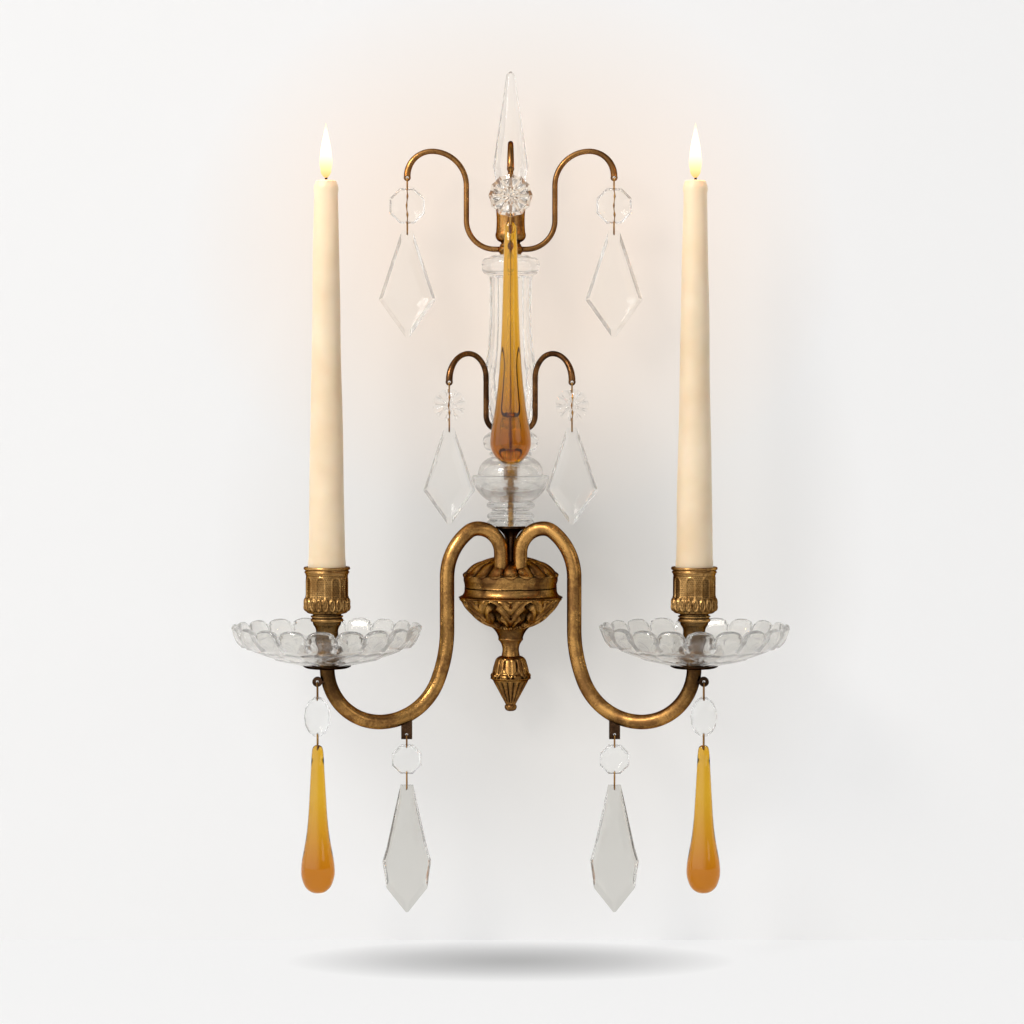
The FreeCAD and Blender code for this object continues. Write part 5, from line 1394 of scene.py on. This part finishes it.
def bead_wire(chain, centre, half, brass):
    """The wire that runs down the front of a bead, twisted into small knots on its way."""
    wire_radius, clearance, edge_depth, inset = 0.3 * MM, 0.4 * MM, 1.6 * MM, 2.3 * MM
    sway_reach, sway_turn = 0.25 * MM, 9.0
    knot_shares = [1.0, 1.0, 2.2, 1.0, 1.0, 2.0, 1.0, 1.0, 2.4, 1.0, 1.0]
    front, edge = centre.y - half.y - clearance, centre.y - edge_depth
    top, low = centre.z + half.z - inset, centre.z - half.z + inset
    path = []
    for number in range(len(knot_shares)):
        share = number / (len(knot_shares) - 1)
        bow = math.sqrt(max(0.0, 1 - (2 * share - 1) ** 6))
        sway = sway_reach * math.sin(share * sway_turn)
        path.append(Vector((centre.x + sway, edge + (front - edge) * bow, top + (low - top) * share)))
    radii = [wire_radius * share for share in knot_shares]
    tube(f"{chain}_bead_wire", path, radii, brass, f"{chain}_bead", sides=3)


def make_chains(glass, brass):
    """Nine chains: links of the frame, and a bead and a drop on each."""
    for chain in CHAIN_EYES:
        dress(f"{chain}_links", brass)
        make_bead(chain, glass)
        make_drop(chain, glass)


def middle_and_half(node):
    """The middle of a node and half its size each way."""
    low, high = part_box(node)
    return (low + high) / 2, (high - low) / 2


def make_bead(chain, glass):
    """A chain's bead: a cut rosette, a pressed one, or a flat many-sided crystal."""
    node = f"{chain}_bead"
    centre, half = middle_and_half(node)
    front_flutes, lower_flutes, outer_sides, other_sides = 12, 9, 14, 8
    if chain.startswith(("upper", "lower")):
        bead_wire(chain, centre, half, finish("wire"))
    if chain == "front":
        mesh = rosette(centre, half, front_flutes, True)
        glass = finish("pressed")
    elif chain.startswith("lower"):
        mesh = rosette(centre, half, lower_flutes, False)
        glass = finish("thin")
    else:
        number = outer_sides if chain.startswith("outer") else other_sides
        inset = math.cos(math.pi / number)
        shape = round_outline(number, half.x * inset, half.z * inset)
        mesh = flat_crystal(shape, centre, [(GIRDLE, 1.0), (half.y * 1.5, 0.8), (half.y * 2, 0.5)])
    piece(f"{node}_cut", mesh, glass, node, [node], sharp=12)


def make_drop(chain, glass):
    """A chain's drop: a kite, a pendalogue on the lowest chains, or amber."""
    node = f"{chain}_drop"
    centre, half = middle_and_half(node)
    low = centre.z - half.z
    if chain.startswith(("front", "outer")):
        make_amber(chain, node, centre, half, low)
        return
    shares = KITE_SHARES
    if chain.startswith("inner"):
        shares, glass = PENDALOGUE_SHARES, finish("smoky")
    table_share = 0.42
    items = crystal_outline(shares, half.x, half.z * 2, -half.z * 2 * table_share)
    layers = [(GIRDLE, 1.0), (half.y * 1.45, 0.80), (half.y * 2, 0.50)]
    mesh = flat_crystal(items, (centre.x, centre.y, low + half.z * 2 * table_share), layers)
    piece(f"{node}_cut", mesh, glass, node, [node], sharp=12)


def make_amber(chain, node, centre, half, low):
    """A drawn amber drop whose stalk is pressed flat round its hole."""
    shades = colours()
    shares, deep, thick = SHORT_AMBER_SHARES, 0.16, shades.amber_thick
    if chain == "front":
        shares, deep, thick = LONG_AMBER_SHARES, 0.1, shades.amber_front
    top = low + half.z * 2
    flat_start, flat_full, flat_share = top - 12 * MM, top - 5 * MM, 0.42
    points_per_span, steps = 6, 56
    points = smooth_line(scaled(shares, half.x, low, half.z * 2), points_per_span)
    mesh = spun(points, (centre.x, centre.y), steps)
    for vert in mesh.verts:
        flat = smooth(vert.co.z, flat_start, flat_full)
        vert.co.y = centre.y + (vert.co.y - centre.y) * (1 - flat_share * flat)
    amber = amber_glass(f"amber_glass_{chain}", low, top, deep, thick)
    piece(f"{node}_drawn", mesh, amber, node, [node])


def smooth_line(points, steps):
    """A smooth line through points, with a few steps between each two."""
    ends = [points[0]] + list(points) + [points[-1]]
    line = []
    for index in range(1, len(ends) - 2):
        before, start, end, after = (Vector(ends[index + n]) for n in (-1, 0, 1, 2))
        for n in range(steps):
            share = n / steps
            place = 0.5 * ((2 * start) + (end - before) * share
                           + (2 * before - 5 * start + 4 * end - after) * share * share
                           + (3 * start - before - 3 * end + after) * share * share * share)
            line.append((place.x, place.y, 0.0))
    line.append((*points[-1], 0.0))
    return line


# Stage


# Lamps: place and aim in metres, watts, and width.
LAMPS = {
    "key": ((-1.0, -1.2, 1.1), (0, 0, 0.05), 24.0, 0.6),
    "fill": ((1.1, -1.2, 0.5), (0, 0, 0.0), 3.0, 0.9),
}


def oval(tree, centre, radii):
    """How far a place is from a centre, measured in an oval's own radii."""
    place = add_node(tree, "ShaderNodeTexCoord")
    mapping = add_node(tree, "ShaderNodeMapping", {"Vector": place.outputs["Object"], "Location": centre,
                                                   "Scale": radii}, vector_type="TEXTURE")
    return add_node(tree, "ShaderNodeVectorMath", {0: mapping.outputs["Vector"]},
                    operation="LENGTH").outputs["Value"]


def seen_rays(tree, mirrored_share=0.0):
    """One for rays from the camera or through glass, and a share of it for rays that metal mirrors."""
    light = add_node(tree, "ShaderNodeLightPath")
    seen = add_node(tree, "ShaderNodeMath", {
        0: light.outputs["Is Camera Ray"], 1: light.outputs["Is Transmission Ray"]}, operation="MAXIMUM")
    mirrored = add_node(tree, "ShaderNodeMath", {
        0: light.outputs["Is Glossy Ray"], 1: mirrored_share}, operation="MULTIPLY")
    return add_node(tree, "ShaderNodeMath", {0: seen.outputs[0], 1: mirrored.outputs[0]},
                    operation="MAXIMUM").outputs[0]


def backdrop(tree, shade, even):
    """Paint that shows its own pale colour, and keeps a share of the light and shadow that fall on it."""
    mirrored_share = 0.4
    diffuse = add_node(tree, "ShaderNodeBsdfDiffuse", {"Color": shade})
    plain = add_node(tree, "ShaderNodeEmission", {"Color": shade, "Strength": 1.0})
    share = add_node(tree, "ShaderNodeMath", {0: seen_rays(tree, mirrored_share), 1: even},
                     operation="MULTIPLY")
    return add_node(tree, "ShaderNodeMixShader", {
        0: share.outputs[0], 1: diffuse.outputs[0], 2: plain.outputs[0]}).outputs[0]


def make_wall():
    """A painted wall: a painted soft shadow behind the urn, a painted warm glow between the flames, clear
    from behind.
    """
    shades = colours()
    height, even = 0.2, 0.8
    material, tree = new_material("painted_wall")
    # A painted shadow round the urn, and a painted warm glow round the flames.
    shadow_reach = oval(tree, centre=(0.02, 0.0, 0.02), radii=(0.20, 1.0, 0.24))
    glow = oval(tree, centre=(0.0, 0.0, 0.205), radii=(0.20, 1.0, 0.165))
    shade = add_node(tree, "ShaderNodeValToRGB", {"Fac": shadow_reach}, [
        (0.12, shades.wall_painted_shadow), (0.5, shades.wall_painted_half_shadow), (1.05, shades.wall_edge)])
    glow_share = add_node(tree, "ShaderNodeValToRGB", {"Fac": glow}, [(0.35, grey(0.75)), (1.0, grey(0.0))])
    tinted = add_node(tree, "ShaderNodeMix", {
        "Factor": glow_share.outputs["Color"], MIX_FIRST: shade.outputs["Color"],
        MIX_SECOND: shades.wall_painted_glow}, data_type="RGBA")
    clear = add_node(tree, "ShaderNodeBsdfTransparent")
    side = add_node(tree, "ShaderNodeNewGeometry")
    mixed = add_node(tree, "ShaderNodeMixShader", {
        0: side.outputs["Backfacing"], 1: backdrop(tree, tinted.outputs[MIX_RESULT], even),
        2: clear.outputs[0]})
    mesh, made = new_sheet()
    bmesh.ops.rotate(mesh, verts=made, cent=(0, 0, 0), matrix=FACE_FRONT)
    bmesh.ops.translate(mesh, verts=made, vec=(0, WALL_GAP, height))
    mesh_object("wall", mesh, finish_material(material, mixed.outputs[0]))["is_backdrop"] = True


def make_floor():
    """A pale floor with the soft oval shadow of the sconce that hangs over it."""
    shades = colours()
    below, even = 27 * MM, 0.9
    material, tree = new_material("pale_floor")
    away = oval(tree, centre=(0.0, -0.06, 0.0), radii=(0.135, 0.062, 1.0))
    shade = add_node(tree, "ShaderNodeValToRGB", {"Fac": away}, [
        (0.0, shades.floor_shade), (0.55, shades.floor_half_shade), (1.0, shades.wall_far)])
    paint = backdrop(tree, shade.outputs["Color"], even)
    mesh, made = new_sheet()
    bmesh.ops.translate(mesh, verts=made, vec=(0, -STAGE_REACH + WALL_GAP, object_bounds()[0][2] - below))
    mesh_object("floor", mesh, finish_material(material, paint))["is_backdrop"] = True


def new_sheet():
    """A level square sheet for the stage."""
    mesh = bmesh.new()
    made = bmesh.ops.create_grid(mesh, x_segments=1, y_segments=1, size=STAGE_REACH)["verts"]
    return mesh, made


def make_world():
    """A pale room: even to the eye and through glass; in metal it is dim, with a bright left."""
    world = bpy.data.worlds.new("pale_room")
    world.use_nodes = True
    tree = world.node_tree
    tree.nodes.clear()
    shade = colours().wall_far
    bright_way = (-0.76, -0.56, 0.33)
    seen = add_node(tree, "ShaderNodeBackground", {"Color": shade, "Strength": 1.0})
    soft = add_node(tree, "ShaderNodeBackground", {"Color": shade, "Strength": 0.36})
    way = add_node(tree, "ShaderNodeTexCoord")
    slope = add_node(tree, "ShaderNodeVectorMath", {0: way.outputs["Generated"], 1: bright_way},
                     operation="DOT_PRODUCT")
    level = add_node(tree, "ShaderNodeMapRange", {
        "Value": slope.outputs["Value"], "From Min": 0.1, "From Max": 0.98, "To Min": 0.26, "To Max": 1.9},
        interpolation_type="SMOOTHERSTEP")
    mirrored = add_node(tree, "ShaderNodeBackground", {"Color": shade, "Strength": level.outputs["Result"]})
    light = add_node(tree, "ShaderNodeLightPath")
    unseen = add_node(tree, "ShaderNodeMixShader", {
        0: light.outputs["Is Glossy Ray"], 1: soft.outputs[0], 2: mirrored.outputs[0]})
    mixed = add_node(tree, "ShaderNodeMixShader", {
        0: seen_rays(tree), 1: unseen.outputs[0], 2: seen.outputs[0]})
    add_node(tree, "ShaderNodeOutputWorld", {"Surface": mixed.outputs[0]})
    bpy.context.scene.world = world


def make_lamp(name, kind, place, aim, power, shade, **settings):
    """A lamp at a place, turned towards another."""
    data = bpy.data.lights.new(name, kind)
    data.energy = power
    data.color = shade[:3]
    for key, value in settings.items():
        setattr(data, key, value)
    lamp = new_object(name, data)
    lamp.location = place
    lamp.rotation_euler = (Vector(aim) - Vector(place)).to_track_quat("-Z", "Y").to_euler()


def make_lamps():
    """A large lamp on the left, a weak one on the right, and the light of the two flames."""
    shades = colours()
    flame_power, flame_height, flame_size = 0.12, 14 * MM, 5 * MM
    for name, (place, aim, power, size) in LAMPS.items():
        make_lamp(name, "AREA", place, aim, power, shades.lamp_light, shape="DISK", size=size)
    for name in SIDES:
        wick = f"wick_{name}"
        place = (*middle_of(wick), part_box(wick)[1].z + flame_height)
        make_lamp(f"flame_light_{name}", "POINT", place, (0, 0, 0), flame_power, shades.warm_light,
                  shadow_soft_size=flame_size)


def make_camera():
    """The photograph's view: level with the upper part, looking slightly down."""
    data = bpy.data.cameras.new("camera")
    data.lens = 97.0
    data.sensor_width = 36.0
    data.clip_start = 0.01
    down_degrees = 2.16
    camera = new_object("camera", data)
    camera.location = (0.0008, -1.665, 0.1099)
    camera.rotation_euler = (math.radians(90 - down_degrees), 0.0, 0.0)
    bpy.context.scene.camera = camera


# Operators and panel


class SCONCE_OT_urn(bpy.types.Operator):
    """Make the urn, its hanging plate and its finial"""
    bl_idname = "sconce.urn"
    bl_label = "Urn and finial"

    def execute(self, context):
        for make in (make_cap, make_bowl, make_finial):
            make(finish("brass"))
        for node in ("hanger_plate", "hanger_screws"):
            dress(node, finish("steel"))
        return {"FINISHED"}


class SCONCE_OT_column(bpy.types.Operator):
    """Make the glass column, its spire and what holds them"""
    bl_idname = "sconce.column"
    bl_label = "Glass column"

    def execute(self, context):
        for make in (make_glass_foot, make_glass_bowl, make_glass_bell, make_glass_column, make_spire):
            make(finish("glass"))
        make_spire_cup(finish("brass"))
        make_rings(finish("brass"))
        make_collar(finish("burnt"))
        for node in ("tie_rod", "nuts"):
            dress(node, finish("wire"))
        return {"FINISHED"}


class SCONCE_OT_sprigs(bpy.types.Operator):
    """Make the five wire sprigs"""
    bl_idname = "sconce.sprigs"
    bl_label = "Wire sprigs"

    def execute(self, context):
        make_sprigs("upper", finish("sprig"))
        make_sprigs("lower", finish("dark"))
        return {"FINISHED"}


class SCONCE_OT_arms(bpy.types.Operator):
    """Make the two arms and the eyes on them"""
    bl_idname = "sconce.arms"
    bl_label = "Arms"

    def execute(self, context):
        make_arms(finish("brass"), finish("burnt"))
        return {"FINISHED"}


class SCONCE_OT_dishes(bpy.types.Operator):
    """Make the drip dishes and the pans under them"""
    bl_idname = "sconce.dishes"
    bl_label = "Drip dishes"

    def execute(self, context):
        for name in SIDES:
            make_dish(f"dish_{name}", finish("dish"))
        make_pans(finish("burnt"))
        return {"FINISHED"}


class SCONCE_OT_sockets(bpy.types.Operator):
    """Make the candle cups"""
    bl_idname = "sconce.sockets"
    bl_label = "Candle cups"

    def execute(self, context):
        for name in SIDES:
            make_socket(name, finish("cup_brass"))
        return {"FINISHED"}


class SCONCE_OT_candles(bpy.types.Operator):
    """Make the candles, their wicks and their flames"""
    bl_idname = "sconce.candles"
    bl_label = "Candles"

    def execute(self, context):
        for name in SIDES:
            make_candle(name, finish("wax"))
            make_wick(name, finish("wick"))
            make_flame(name, finish("flame"))
        return {"FINISHED"}


class SCONCE_OT_chains(bpy.types.Operator):
    """Make the nine chains of beads and drops"""
    bl_idname = "sconce.chains"
    bl_label = "Chains"

    def execute(self, context):
        make_chains(finish("glass"), finish("wire"))
        return {"FINISHED"}


class SCONCE_OT_stage(bpy.types.Operator):
    """Make the wall, the floor, the light and the camera"""
    bl_idname = "sconce.stage"
    bl_label = "Stage"

    def execute(self, context):
        for make in (make_wall, make_floor, make_world, make_lamps, make_camera):
            make()
        return {"FINISHED"}


OPERATORS = (SCONCE_OT_urn, SCONCE_OT_column, SCONCE_OT_sprigs, SCONCE_OT_arms, SCONCE_OT_dishes,
             SCONCE_OT_sockets, SCONCE_OT_candles, SCONCE_OT_chains, SCONCE_OT_stage)


class SCONCE_PT_panel(bpy.types.Panel):
    """Lists the sconce's pieces in the sidebar"""
    bl_idname = "SCONCE_PT_panel"
    bl_label = "Candle wall sconce"
    bl_space_type = "VIEW_3D"
    bl_region_type = "UI"
    bl_category = "Sconce"

    def draw(self, context):
        for operator in OPERATORS:
            self.layout.operator(operator.bl_idname)


CLASSES = (SconceSizes, SconceColours, *OPERATORS, SCONCE_PT_panel)


def register():
    for item in CLASSES:
        bpy.utils.register_class(item)
    bpy.types.Scene.sconce_sizes = bpy.props.PointerProperty(type=SconceSizes)
    bpy.types.Scene.sconce_colours = bpy.props.PointerProperty(type=SconceColours)


def unregister():
    del bpy.types.Scene.sconce_colours
    del bpy.types.Scene.sconce_sizes
    for item in reversed(CLASSES):
        bpy.utils.unregister_class(item)


def main():
    register()
    bpy.context.scene.view_settings.view_transform = "Standard"
    read_chains()
    for operator in OPERATORS:
        group, name = operator.bl_idname.split(".")
        getattr(getattr(bpy.ops, group), name)()


if __name__ == "__main__":
    main()
